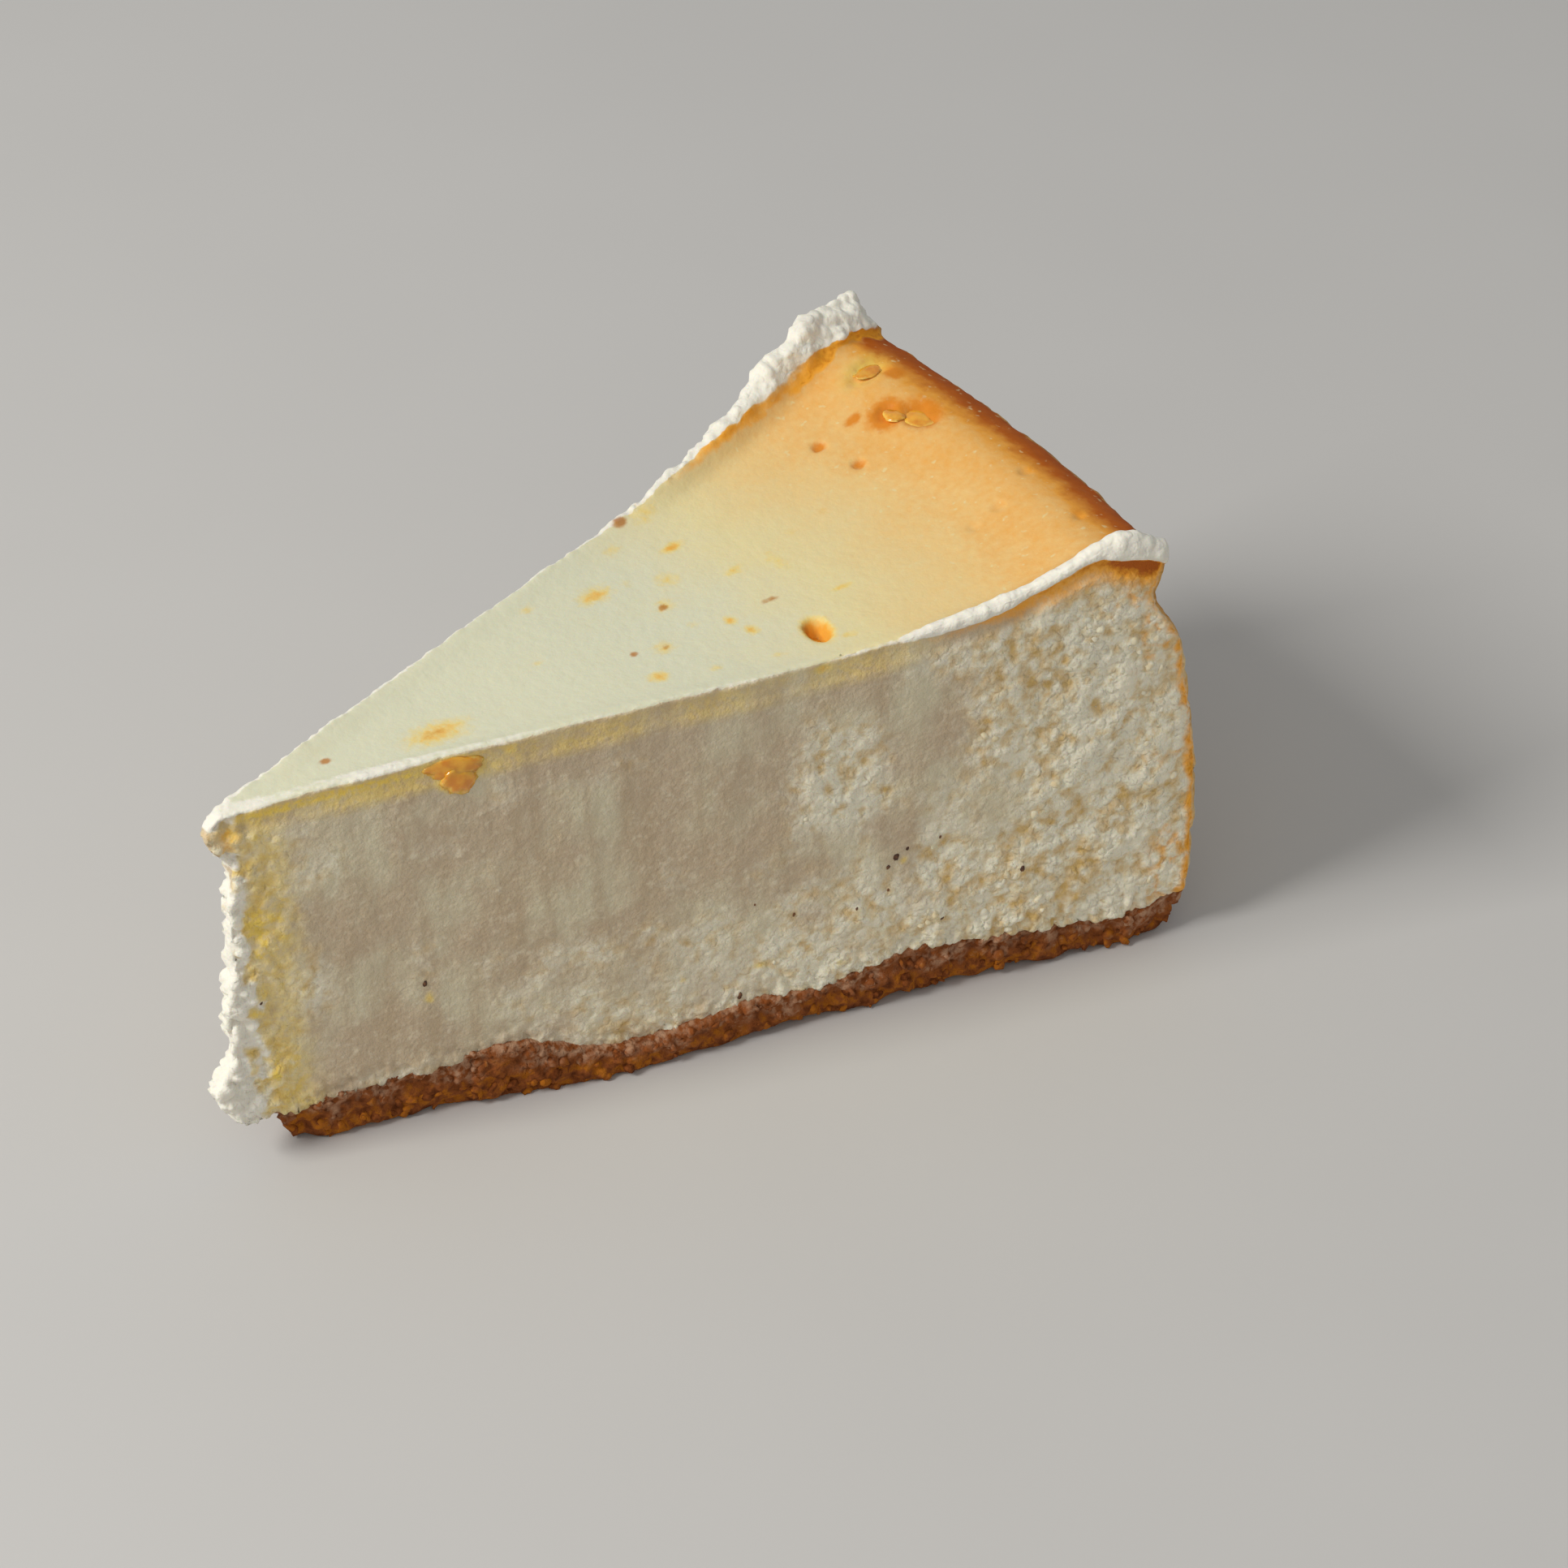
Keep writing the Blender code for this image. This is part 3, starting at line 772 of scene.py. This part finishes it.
def cut_colour(tree, fine):
    """A cut: beige streaks where the knife wiped it, white curd where it broke, and painted shade in ochre
    and tan in the hollows between curds and in the torn pockets.
    """
    clouds = mottle(tree, 11 * MM, 3.0)
    streaks = mottle(tree, 3.0 * MM, 3.0, stretch=(1.0, 1.0, 7.0), shift=0.3)
    cut = mixed(tree, spread(tree, clouds, 0.38, 0.66), CUT_BEIGE, CUT_PALE)
    cut = mixed(tree, spread(tree, streaks, 0.42, 0.72, 0.0, 0.65), cut, CUT_TAN)
    cut = mixed(tree, spread(tree, fine, 0.50, 0.75, 0.0, 0.25), cut, CURD_WHITE)
    broken = mottle(tree, 1.9 * MM, 4.0, shift=5.0)
    gathered = times(tree, mottle(tree, 9 * MM, 2.0, shift=6.0), 0.5)
    height = plus(tree, times(tree, painted(tree, "curd"), 0.30), broken)
    height = plus(tree, height, gathered)
    height = plus(tree, height, times(tree, painted(tree, "lump"), 0.4))
    # White on the curds, and ochre and tan painted shade in the hollows between them
    stops = ((0.68, SHADED_HOLLOW_OCHRE), (0.80, TAN_AND_HOLLOW_SHADE), (0.90, CURD_PALE), (1.0, CURD_WHITE))
    curd_with_shaded_hollows = ramp(tree, height, stops)
    share = plus(tree, painted(tree, "crumbly"), fray(tree, fine))
    cut = mixed(tree, spread(tree, share, 0.10, 0.9, 0.0, 0.95), cut, curd_with_shaded_hollows)
    # Torn pockets go over to ochre, as painted shade in the recess
    shaded_pocket = ramp(tree, painted(tree, "pocket"), ((0.0, CURD_PALE), (0.5, TAN_AND_HOLLOW_SHADE), (1.0, SHADED_HOLLOW_OCHRE)))
    pocket_shade_edge = plus(tree, painted(tree, "pocket"), fray(tree, fine))
    return mixed(tree, spread(tree, pocket_shade_edge, 0.10, 0.9, 0.0, 0.80), cut, shaded_pocket)


def top_colour(tree, baked, blotches):
    """The baked skin: pale towards the tip, then golden, and brown at the rim, with pale specks that are
    partly painted glints.
    """
    freckles = rescaled(tree, mottle(tree, 1.1 * MM, 4.0, shift=1.8), 0.15, -0.075)
    freckles = times(tree, freckles, spread(tree, baked, 0.1, 0.5, 0.25, 1.0))
    browning = plus(tree, baked, blotches)
    browning = plus(tree, browning, freckles)
    stops = ((0.0, PALE_TOP), (0.22, CREAM_TOP), (0.45, GOLD_TOP), (0.64, DEEP_GOLD))
    stops += ((0.82, BROWN_RIM), (1.0, DARK_RIM))
    top = ramp(tree, browning, stops)
    # Pale specks over the golden skin, partly painted glints
    specks_and_glints = spread(tree, mottle(tree, 1.0 * MM, 1.0, shift=7.0), 0.66, 0.78, 0.0, 0.55)
    specks_and_glints = times(tree, specks_and_glints, spread(tree, baked, 0.15, 0.45))
    return mixed(tree, specks_and_glints, top, CREAM_TOP)


def side_colour(tree):
    """The outer side, which baked against the tin."""
    weathered = mottle(tree, 6 * MM, 6.0, stretch=(1.0, 1.0, 1.8), shift=2.0)
    weathered = plus(tree, times(tree, weathered, 0.7), painted(tree, "toast"))
    weathered = plus(tree, weathered, fray(tree, mottle(tree, 1.2 * MM, 4.0, shift=2.5)))
    stops = ((0.36, SIDE_CREAM), (0.50, SIDE_TAN), (0.66, SIDE_GOLD), (0.90, SIDE_BROWN))
    return ramp(tree, weathered, stops)


def with_marks(tree, colour, baked, fine):
    """Lays the yellow bands, scorched edges, white ridges with a painted highlight along the near top edge,
    stains, and painted shade in the big hole of the top over a colour.
    """
    tinge = times(tree, painted(tree, "yolk"), spread(tree, fine, 0.3, 0.6, 0.45, 1.0))
    colour = mixed(tree, tinge, colour, YOLK_YELLOW)
    frayed = fray(tree, fine)
    scorch_edge = plus(tree, painted(tree, "scorch"), frayed)
    stops = ((0.10, SCORCH_TAN), (0.45, SCORCH_ORANGE), (0.70, SCORCH_ORANGE), (0.95, SCORCH_BROWN))
    scorched = ramp(tree, scorch_edge, stops)
    colour = mixed(tree, spread(tree, scorch_edge, 0.0, 0.85, 0.0, 0.97), colour, scorched)
    cream_and_highlight_edge = plus(tree, painted(tree, "cream"), frayed)
    # White ridges, and the painted highlight along the near top edge
    colour = mixed(tree, spread(tree, cream_and_highlight_edge, 0.30, 0.70), colour, RIDGE_AND_HIGHLIGHT_WHITE)
    amber_edge = plus(tree, painted(tree, "amber"), frayed)
    stain = ramp(tree, amber_edge, ((0.20, YELLOW_STAIN), (0.45, YELLOW_STAIN), (0.80, AMBER_STAIN)))
    stain = mixed(tree, spread(tree, baked, 0.25, 0.50), stain, BURNT_AMBER)
    colour = mixed(tree, spread(tree, amber_edge, 0.14, 0.60, 0.0, 0.9), colour, stain)
    # Brown stains, and painted shade in the big hole of the top
    brown_stain_and_shade_edge = plus(tree, painted(tree, "brown"), frayed)
    return mixed(tree, spread(tree, brown_stain_and_shade_edge, 0.25, 0.75, 0.0, 0.85), colour, BROWN_STAIN_AND_SHADE)


def cheese_bump(tree):
    """Crumb and curd on the cuts, and a fine peel on the skin."""
    peel = bumped(tree, mottle(tree, 1.3 * MM, 3.0, shift=3.0), 0.11 * MM)
    crumb = mottle(tree, 0.55 * MM, 3.0, shift=4.0)
    depth = spread(tree, painted(tree, "skin"), 0.3, 0.7, 1.0, 0.12)
    depth = times(tree, depth, spread(tree, painted(tree, "cream"), 0.2, 0.8, 1.0, 0.5))
    rough_cut = bumped(tree, times(tree, crumb, depth), 0.22 * MM, under=peel)
    ragged = times(tree, painted(tree, "cream"), 0.4)
    ragged = worked(tree, "MAXIMUM", painted(tree, "crumbly"), ragged)
    deep = times(tree, crumb_cells(tree, 1.25 * MM), ragged)
    return bumped(tree, deep, 0.55 * MM, under=rough_cut)


def cheese_material():
    """Baked cream cheese: curd where cut, a satin golden skin on top, browned at the rim."""
    material, tree, shader = new_material("baked cheese")
    skin, side, baked = (painted(tree, name) for name in ("skin", "side", "baked"))
    fine = mottle(tree, 0.9 * MM, 3.0, shift=0.7)
    blotches = rescaled(tree, mottle(tree, 7 * MM, 4.0, shift=1.1), 0.12, -0.06)
    top = top_colour(tree, baked, blotches)
    colour = mixed(tree, spread(tree, skin, 0.35, 0.65), cut_colour(tree, fine), top)
    colour = mixed(tree, spread(tree, side, 0.35, 0.65), colour, side_colour(tree))
    colour = with_marks(tree, colour, baked, fine)
    rough = spread(tree, skin, 0.3, 0.7, 0.66, 0.42)
    rough = plus(tree, rough, spread(tree, blotches, -0.04, 0.04, -0.04, 0.05))
    rough = plus(tree, rough, spread(tree, baked, 0.55, 0.85, 0.0, 0.16))
    give_look(tree, shader, colour, rough, cheese_bump(tree), CHEESE_SHINE)
    let_light_in(shader, 0.15, CHEESE_GLOW, 1.0 * MM)
    return material


def curd_material():
    """Loose curd: the filling's white grains, each a little different."""
    material, tree, shader = new_material("loose curd")
    tint = painted(tree, "tint")
    colour = mixed(tree, tint, CURD_WHITE, CURD_PALE)
    # Tan patches at random on the loose grains
    colour = mixed(tree, spread(tree, mottle(tree, 1.0 * MM, 3.0), 0.40, 0.70, 0.0, 0.7), colour, TAN_AND_HOLLOW_SHADE)
    grain = bumped(tree, mottle(tree, 0.4 * MM, 2.0, shift=1.0), 0.10 * MM)
    give_look(tree, shader, colour, 0.70, grain, CHEESE_SHINE)
    let_light_in(shader, 0.15, CHEESE_GLOW, 1.5 * MM)
    return material


def crumb_colour(tree, value):
    """The range of browns of baked biscuit: mauve brown, more orange low down, floury on top."""
    stops = ((0.0, CRUMB_DARK), (0.35, CRUMB_BROWN), (0.70, CRUMB_BROWN), (1.0, CRUMB_PALE))
    low_stops = ((0.0, CRUMB_DARK), (0.40, CRUMB_BROWN), (0.70, CRUMB_ORANGE), (1.0, CRUMB_ORANGE))
    wander = spread(tree, mottle(tree, 4 * MM, 2.0, shift=8.0), 0.3, 0.7, -0.25, 0.25)
    rise = plus(tree, painted(tree, "rise"), wander)
    low = spread(tree, rise, 0.35, 0.70, 1.0, 0.0)
    colour = mixed(tree, low, ramp(tree, value, stops), ramp(tree, value, low_stops))
    floury = spread(tree, mottle(tree, 1.0 * MM, 4.0, shift=8.5), 0.38, 0.66)
    floury = times(tree, floury, spread(tree, rise, 0.45, 1.0, 0.0, 0.85))
    return mixed(tree, floury, colour, CRUMB_PALE)


def packed_crumb_material():
    """The pressed body of the crumb base, darkened between its grains as painted shade."""
    material, tree, shader = new_material("pressed biscuit")
    grains = mottle(tree, 1.6 * MM, 6.0)
    # Higher on each crumb and lower between crumbs: painted shade in the gaps, and the same cells give the
    # bump
    crumbs_and_gap_shade = times(tree, crumb_cells(tree, 1.1 * MM), 0.35)
    value = plus(tree, spread(tree, grains, 0.28, 0.75, 0.05, 0.80), crumbs_and_gap_shade)
    colour = crumb_colour(tree, value)
    rough = bumped(tree, mottle(tree, 0.5 * MM, 3.0, shift=1.0), 0.35 * MM)
    cells = bumped(tree, crumbs_and_gap_shade, 0.8 * MM, under=rough)
    give_look(tree, shader, colour, 0.8, cells, CRUMB_SHINE)
    return material


def loose_crumb_material():
    """Grains of biscuit, each its own brown."""
    material, tree, shader = new_material("biscuit grains")
    inside = spread(tree, mottle(tree, 0.7 * MM, 3.0), 0.3, 0.7, -0.16, 0.22)
    own = rescaled(tree, painted(tree, "tint"), 0.62, 0.14)
    colour = crumb_colour(tree, plus(tree, own, inside))
    rough = bumped(tree, mottle(tree, 0.3 * MM, 2.0, shift=1.0), 0.12 * MM)
    give_look(tree, shader, colour, 0.85, rough, CRUMB_SHINE)
    return material


def amber_material():
    """Clear amber syrup that gathered in the hollows of the top, paler where it is thin; the pale rim is
    also a painted highlight.
    """
    material, tree, shader = new_material("amber syrup")
    colour = mixed(tree, spread(tree, mottle(tree, 1.6 * MM, 2.0), 0.35, 0.7), SYRUP_LIGHT, SYRUP_DEEP)
    thin = plus(tree, painted(tree, "thin"), fray(tree, mottle(tree, 0.8 * MM, 2.0, shift=5.0)))
    # Pale at the rim: thinner syrup, and a painted highlight
    colour = mixed(tree, spread(tree, thin, 0.80, 1.10), colour, SYRUP_THIN_AND_GLINT)
    uneven_skin = bumped(tree, mottle(tree, 1.2 * MM, 1.0, shift=2.0), 0.10 * MM)
    give_look(tree, shader, colour, 0.14, uneven_skin)
    shader.inputs["Coat Weight"].default_value = 0.6
    shader.inputs["Coat Roughness"].default_value = 0.05
    let_light_in(shader, 0.3, (1.0, 0.4, 0.1), 1.0 * MM)
    return material


def speck_material():
    """Dark toasted specks."""
    material, tree, shader = new_material("toasted specks")
    burnt = spread(tree, mottle(tree, 0.5 * MM, 2.0), 0.35, 0.7)
    colour = mixed(tree, burnt, SPECK_BLACK, SPECK_BROWN)
    rough = bumped(tree, mottle(tree, 0.3 * MM, 2.0, shift=1.0), 0.08 * MM)
    give_look(tree, shader, colour, 0.55, rough)
    return material


def floor_material():
    """A plain pale floor."""
    material, tree, shader = new_material("pale floor")
    colour = mixed(tree, mottle(tree, 60 * MM, 2.0), FLOOR_GREY, FLOOR_PALE)
    tree.links.new(colour, shader.inputs["Base Color"])
    shader.inputs["Roughness"].default_value = 0.85
    return material


def grain_scatter():
    """Geometry nodes that scatter lumpy grains over a surface, thickest where it says so."""
    tree = bpy.data.node_groups.new("grains over a surface", "GeometryNodeTree")
    sockets = tree.interface
    sockets.new_socket("Surface", in_out="INPUT", socket_type="NodeSocketGeometry")
    for wanted in ("Grains per square metre", "Smallest", "Largest", "Lumpiness", "Sunk in"):
        sockets.new_socket(wanted, in_out="INPUT", socket_type="NodeSocketFloat")
    sockets.new_socket("Seed", in_out="INPUT", socket_type="NodeSocketInt")
    sockets.new_socket("Material", in_out="INPUT", socket_type="NodeSocketMaterial")
    sockets.new_socket("Grains", in_out="OUTPUT", socket_type="NodeSocketGeometry")
    given = tree.nodes.new("NodeGroupInput").outputs
    where = node(tree, "GeometryNodeInputNamedAttribute", {"Name": "grains"}, data_type="FLOAT")
    density = times(tree, where.outputs["Attribute"], given["Grains per square metre"])
    points = node(
        tree,
        "GeometryNodeDistributePointsOnFaces",
        {"Mesh": given["Surface"], "Density": density, "Seed": given["Seed"]},
        distribute_method="RANDOM",
    )
    inwards = stretched(tree, points.outputs["Normal"], times(tree, given["Sunk in"], -1.0))
    bedded = node(
        tree, "GeometryNodeSetPosition", {"Geometry": points.outputs["Points"], "Offset": inwards}
    )
    block = node(tree, "GeometryNodeMeshCube", {"Size": (1.0, 1.0, 1.0)})
    for side in ("Vertices X", "Vertices Y", "Vertices Z"):
        block.inputs[side].default_value = 3
    place = node(tree, "GeometryNodeInputPosition").outputs[0]
    rounded = node(tree, "ShaderNodeVectorMath", {0: place}, operation="NORMALIZE").outputs[0]
    half = stretched(tree, rounded, 0.5)
    ball = node(tree, "GeometryNodeSetPosition", {"Geometry": block.outputs["Mesh"], "Position": half})
    turn = node(tree, "FunctionNodeRandomValue", {"Seed": given["Seed"]}, data_type="FLOAT_VECTOR")
    turn.inputs[1].default_value = (math.tau, math.tau, math.tau)
    size = node(tree, "FunctionNodeRandomValue", {"Seed": given["Seed"]}, data_type="FLOAT_VECTOR")
    tree.links.new(given["Smallest"], size.inputs[0])
    tree.links.new(given["Largest"], size.inputs[1])
    laid = node(
        tree,
        "GeometryNodeInstanceOnPoints",
        {
            "Points": bedded.outputs[0],
            "Instance": ball.outputs[0],
            "Rotation": turn.outputs[0],
            "Scale": size.outputs[0],
        },
    )
    pick = node(tree, "FunctionNodeRandomValue", {"Seed": given["Seed"]}, data_type="FLOAT")
    kept = node(
        tree,
        "GeometryNodeStoreNamedAttribute",
        {"Geometry": laid.outputs[0], "Name": "tint"},
        data_type="FLOAT",
        domain="INSTANCE",
    )
    tree.links.new(pick.outputs[1], kept.inputs["Value"])
    real = node(tree, "GeometryNodeRealizeInstances", {"Geometry": kept.outputs[0]})
    bulge = node(tree, "ShaderNodeTexNoise", {"Scale": 900.0, "Detail": 1.0})
    push = any_way(tree, bulge, given["Lumpiness"])
    lumpy = node(tree, "GeometryNodeSetPosition", {"Geometry": real.outputs[0], "Offset": push})
    wanted = {"Geometry": lumpy.outputs[0], "Material": given["Material"]}
    dressed = node(tree, "GeometryNodeSetMaterial", wanted)
    out = tree.nodes.new("NodeGroupOutput")
    tree.links.new(dressed.outputs[0], out.inputs[0])
    return tree


def scattered(name, surface, tree, material, wanted):
    """Grains scattered over a copy of a mesh, thickest where it is painted so."""
    obj = place_in_scene(name, surface.copy())
    scatter = obj.modifiers.new("grains", "NODES")
    scatter.node_group = tree
    sockets = {item.name: item.identifier for item in tree.interface.items_tree if item.in_out == "INPUT"}
    for key, value in wanted.items():
        scatter[sockets[key]] = value
    scatter[sockets["Material"]] = material
    apply_modifiers(obj)
    points, _ = corners(obj.data)
    move_corners(obj.data, points)
    return obj


def make_filling():
    """The cheesecake itself."""
    obj = remeshed(node_copy("filling", "cheesecake_filling"), FILLING_GRAIN)
    points, normals = corners(obj.data)
    at = Places(points, normals)
    relief, crumbly, curd, pockets, lumps = filling_relief(at)
    filling_paint(obj.data, at, crumbly, curd, pockets, lumps)
    gathered = ease(uneven(points, 7 * MM, shift=6.6), -0.1, 0.4) * ease(crumbly, 0.55, 0.9)
    clear_of_edges = ease(at.inside_side, 2 * MM, 4 * MM) * ease(at.below_near, 5 * MM, 8 * MM)
    paint(obj.data, "grains", gathered * clear_of_edges * ease(at.radius, 12 * MM, 20 * MM))
    move_corners(obj.data, points + normals * relief[:, None])
    thin_hidden(obj, at)
    obj.data.materials.clear()
    obj.data.materials.append(cheese_material())
    obj.data.shade_smooth()
    return obj


def thin_hidden(obj, at):
    """Leaves fewer faces where the filling lies on its base, and on the far cut and the side."""
    under = (1.0 - at.top) * (1.0 - at.side) * (1.0 - cut_share(at)) * (at.radius > 10 * MM)
    hidden = np.maximum(under, 0.25 * np.maximum(at.far_cut, at.side) * (at.below_far > 6 * MM))
    group = obj.vertex_groups.new(name="hidden")
    for i in np.flatnonzero(hidden > 0.02):
        group.add([int(i)], float(hidden[i]), "REPLACE")
    thin = obj.modifiers.new("fewer faces", "DECIMATE")
    thin.ratio = FILLING_KEPT
    thin.vertex_group = group.name
    apply_modifiers(obj)
    obj.vertex_groups.clear()


def make_base():
    """The pressed body of the crumb base."""
    obj = remeshed(node_copy("crumb_base", "crumb_base_core"), BASE_GRAIN)
    points, normals = corners(obj.data)
    at = Places(points, normals)
    upright = 1.0 - ease(np.abs(normals[:, 2]), 0.5, 0.85)
    lumps = granules(points, 2.4 * MM, shift=2.9)
    grit = uneven(points, 1.2 * MM, shift=3.3)
    relief = upright * (1.0 * MM * (lumps - 0.78) + 0.35 * MM * grit)
    relief += upright * 0.5 * MM * uneven(points, 5 * MM, shift=1.9)
    relief += ease(normals[:, 2], 0.1, 0.5) * 0.60 * MM
    paint(obj.data, "grains", upright)
    rise = at.height / np.maximum(at.height + np.maximum(at.below_near, 0.0), 1.0 * MM)
    paint(obj.data, "rise", rise)
    move_corners(obj.data, points + normals * relief[:, None])
    obj.data.materials.clear()
    obj.data.materials.append(packed_crumb_material())
    obj.data.shade_smooth()
    return obj


def surface_under(obj):
    """A tree that finds where a straight line meets the object."""
    view = bpy.context.evaluated_depsgraph_get()
    return BVHTree.FromObject(obj, view)


def on_top(tree, radius, angle):
    """The point of the top at a place, and the direction that it faces."""
    turned = math.radians(angle)
    x = CAKE_CENTRE[0] + radius * MM * math.cos(turned)
    y = CAKE_CENTRE[1] + radius * MM * math.sin(turned)
    place, normal, _, _ = tree.ray_cast(Vector((x, y, 0.1)), Vector((0.0, 0.0, -1.0)))
    return place, normal


def on_near_cut(tree, radius, height):
    """The point of the near cut at a place, and the direction that it faces."""
    along = Vector((math.cos(HALF_ANGLE), -math.sin(HALF_ANGLE), 0.0))
    start = Vector(CAKE_CENTRE) + along * radius * MM + Vector((0.0, 0.0, height * MM))
    out = Vector(OUT_OF_NEAR_CUT)
    place, normal, _, _ = tree.ray_cast(start + out * 0.02, -out)
    return place, normal


def blob(shape, place, facing, along, size, seed, thin=None):
    """Adds a lumpy flattened ball that sits on a surface, and keeps how near its rim each corner is."""
    made = bmesh.ops.create_icosphere(shape, subdivisions=3, radius=1.0)
    side = facing.cross(along).normalized()
    ahead = side.cross(facing).normalized()
    frame_of = Matrix((ahead, side, facing)).transposed()
    for vert in made["verts"]:
        lump = 1.0 + 0.28 * noise.noise(vert.co * 1.3 + Vector((seed, seed, seed)))
        lump += 0.22 * noise.noise(vert.co * 2.9 + Vector((seed, seed, 0.0)))
        if thin is not None:
            vert[thin] = math.hypot(vert.co.x, vert.co.y)
        local = Vector([c * s * lump for c, s in zip(vert.co, size)])
        vert.co = place + frame_of @ local


def make_amber(tree):
    """Amber drops that sit in the hollows of the top, and one that stuck to the near cut."""
    shape = bmesh.new()
    thin = shape.verts.layers.float.new("thin")
    level = Vector((math.cos(HALF_ANGLE), -math.sin(HALF_ANGLE), 0.0))
    for i, (radius, height, width, tall, thick) in enumerate(CUT_DROPS):
        place, normal = on_near_cut(tree, radius, height)
        size = (width * MM / 2, tall * MM / 2, thick * MM / 2)
        blob(shape, place, normal, level, size, 1.3 + i, thin)
    for i, (radius, angle, length, width, height) in enumerate(AMBER_DROPS):
        place, _ = on_top(tree, radius, angle)
        turned = math.radians(angle)
        along = Vector((math.cos(turned), math.sin(turned), 0.0))
        size = (length * MM / 2, width * MM / 2, height * MM / 2)
        blob(shape, place, Vector((0.0, 0.0, 1.0)), along, size, i * 3.7, thin)
    return finished(shape, "amber_drops", amber_material())


def make_specks(tree):
    """Dark specks stuck in the near cut."""
    shape = bmesh.new()
    for i, (radius, height, size) in enumerate(SPECKS):
        place, normal = on_near_cut(tree, radius, height)
        half = size * MM / 2
        flat = (half * 1.2, half * 0.8, half * 0.5)
        blob(shape, place, normal, Vector((0.3, 0.1, 1.0)), flat, i * 2.3)
    return finished(shape, "toasted_specks", speck_material())


def finished(shape, name, material):
    """Turns a bmesh into a smooth object with its material."""
    mesh = bpy.data.meshes.new(name)
    bmesh.ops.recalc_face_normals(shape, faces=shape.faces[:])
    shape.to_mesh(mesh)
    shape.free()
    mesh.shade_smooth()
    mesh.materials.append(material)
    return place_in_scene(name, mesh)


def make_camera():
    """The camera, at the photograph's angle."""
    sin_a, cos_a = math.sin(CAMERA_AZIMUTH), math.cos(CAMERA_AZIMUTH)
    sin_e, cos_e = math.sin(CAMERA_ELEVATION), math.cos(CAMERA_ELEVATION)
    back = Vector((sin_a * cos_e, -cos_a * cos_e, sin_e))
    right = Vector((cos_a, sin_a, 0.0))
    up = back.cross(right)
    c, s = math.cos(CAMERA_ROLL), math.sin(CAMERA_ROLL)
    right, up = c * right + s * up, c * up - s * right
    data = bpy.data.cameras.new("camera")
    data.sensor_width = SENSOR
    data.lens = SENSOR * FOCAL_LENGTH / PICTURE_SIDE
    data.clip_start = 0.01
    data.clip_end = 20.0
    camera = bpy.data.objects.new("camera", data)
    turn = Matrix((right, up, back)).transposed().to_4x4()
    camera.matrix_world = Matrix.Translation(CAMERA_TARGET + back * CAMERA_DISTANCE) @ turn
    bpy.context.scene.collection.objects.link(camera)
    bpy.context.scene.camera = camera


def soft_light(name, direction, distance, side, power, colour):
    """A square soft light that shines at the slice from a direction."""
    data = bpy.data.lights.new(name, "AREA")
    data.shape = "SQUARE"
    data.size = side
    data.energy = power
    data.color = colour
    light = bpy.data.objects.new(name, data)
    towards = Vector(direction).normalized()
    light.location = Vector((0.0, 0.0, 0.03)) + towards * distance
    light.rotation_mode = "QUATERNION"
    light.rotation_quaternion = towards.to_track_quat("Z", "Y")
    bpy.context.scene.collection.objects.link(light)


def make_studio():
    """A pale floor, a window-like key from behind on the left, and soft fill."""
    mesh = bpy.data.meshes.new("floor")
    square = [(x * FLOOR_HALF, y * FLOOR_HALF, 0) for x, y in ((-1, -1), (1, -1), (1, 1), (-1, 1))]
    mesh.from_pydata(square, [], [(0, 1, 2, 3)])
    mesh.materials.append(floor_material())
    place_in_scene("floor", mesh)
    soft_light("key", KEY_DIRECTION, distance=1.1, side=0.40, power=8.5, colour=KEY_COLOUR)
    soft_light("fill", FILL_DIRECTION, distance=1.3, side=0.9, power=1.0, colour=FILL_COLOUR)
    world = bpy.data.worlds.new("soft daylight")
    world.use_nodes = True
    sky = world.node_tree.nodes["Background"]
    sky.inputs["Color"].default_value = SKY_COLOUR
    sky.inputs["Strength"].default_value = SKY_STRENGTH
    bpy.context.scene.world = world
    bpy.context.scene.view_settings.view_transform = "Standard"


def main():
    make_camera()
    make_studio()
    filling = make_filling()
    base = make_base()
    grains = grain_scatter()

    biscuit = {
        "Grains per square metre": 2.6e5,
        "Smallest": 0.6 * MM,
        "Largest": 2.0 * MM,
        "Lumpiness": 1.2 * MM,
        "Sunk in": 0.32 * MM,
        "Seed": 4,
    }
    crumbs = scattered("base_crumbs", base.data, grains, loose_crumb_material(), biscuit)
    crumbs.data.shade_smooth()
    white = {
        "Grains per square metre": 1.3e5,
        "Smallest": 0.8 * MM,
        "Largest": 2.0 * MM,
        "Lumpiness": 1.0 * MM,
        "Sunk in": 0.50 * MM,
        "Seed": 11,
    }
    curd = scattered("loose_curd", filling.data, grains, curd_material(), white)
    curd.data.shade_smooth()

    tree = surface_under(filling)
    amber = make_amber(tree)
    specks = make_specks(tree)

    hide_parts("filling")
    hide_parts("crumb_base")
    for piece, slot in ((filling, "filling"), (curd, "filling"), (amber, "filling"), (specks, "filling"),
                        (base, "crumb"), (crumbs, "crumb")):
        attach(piece, "root")


main()
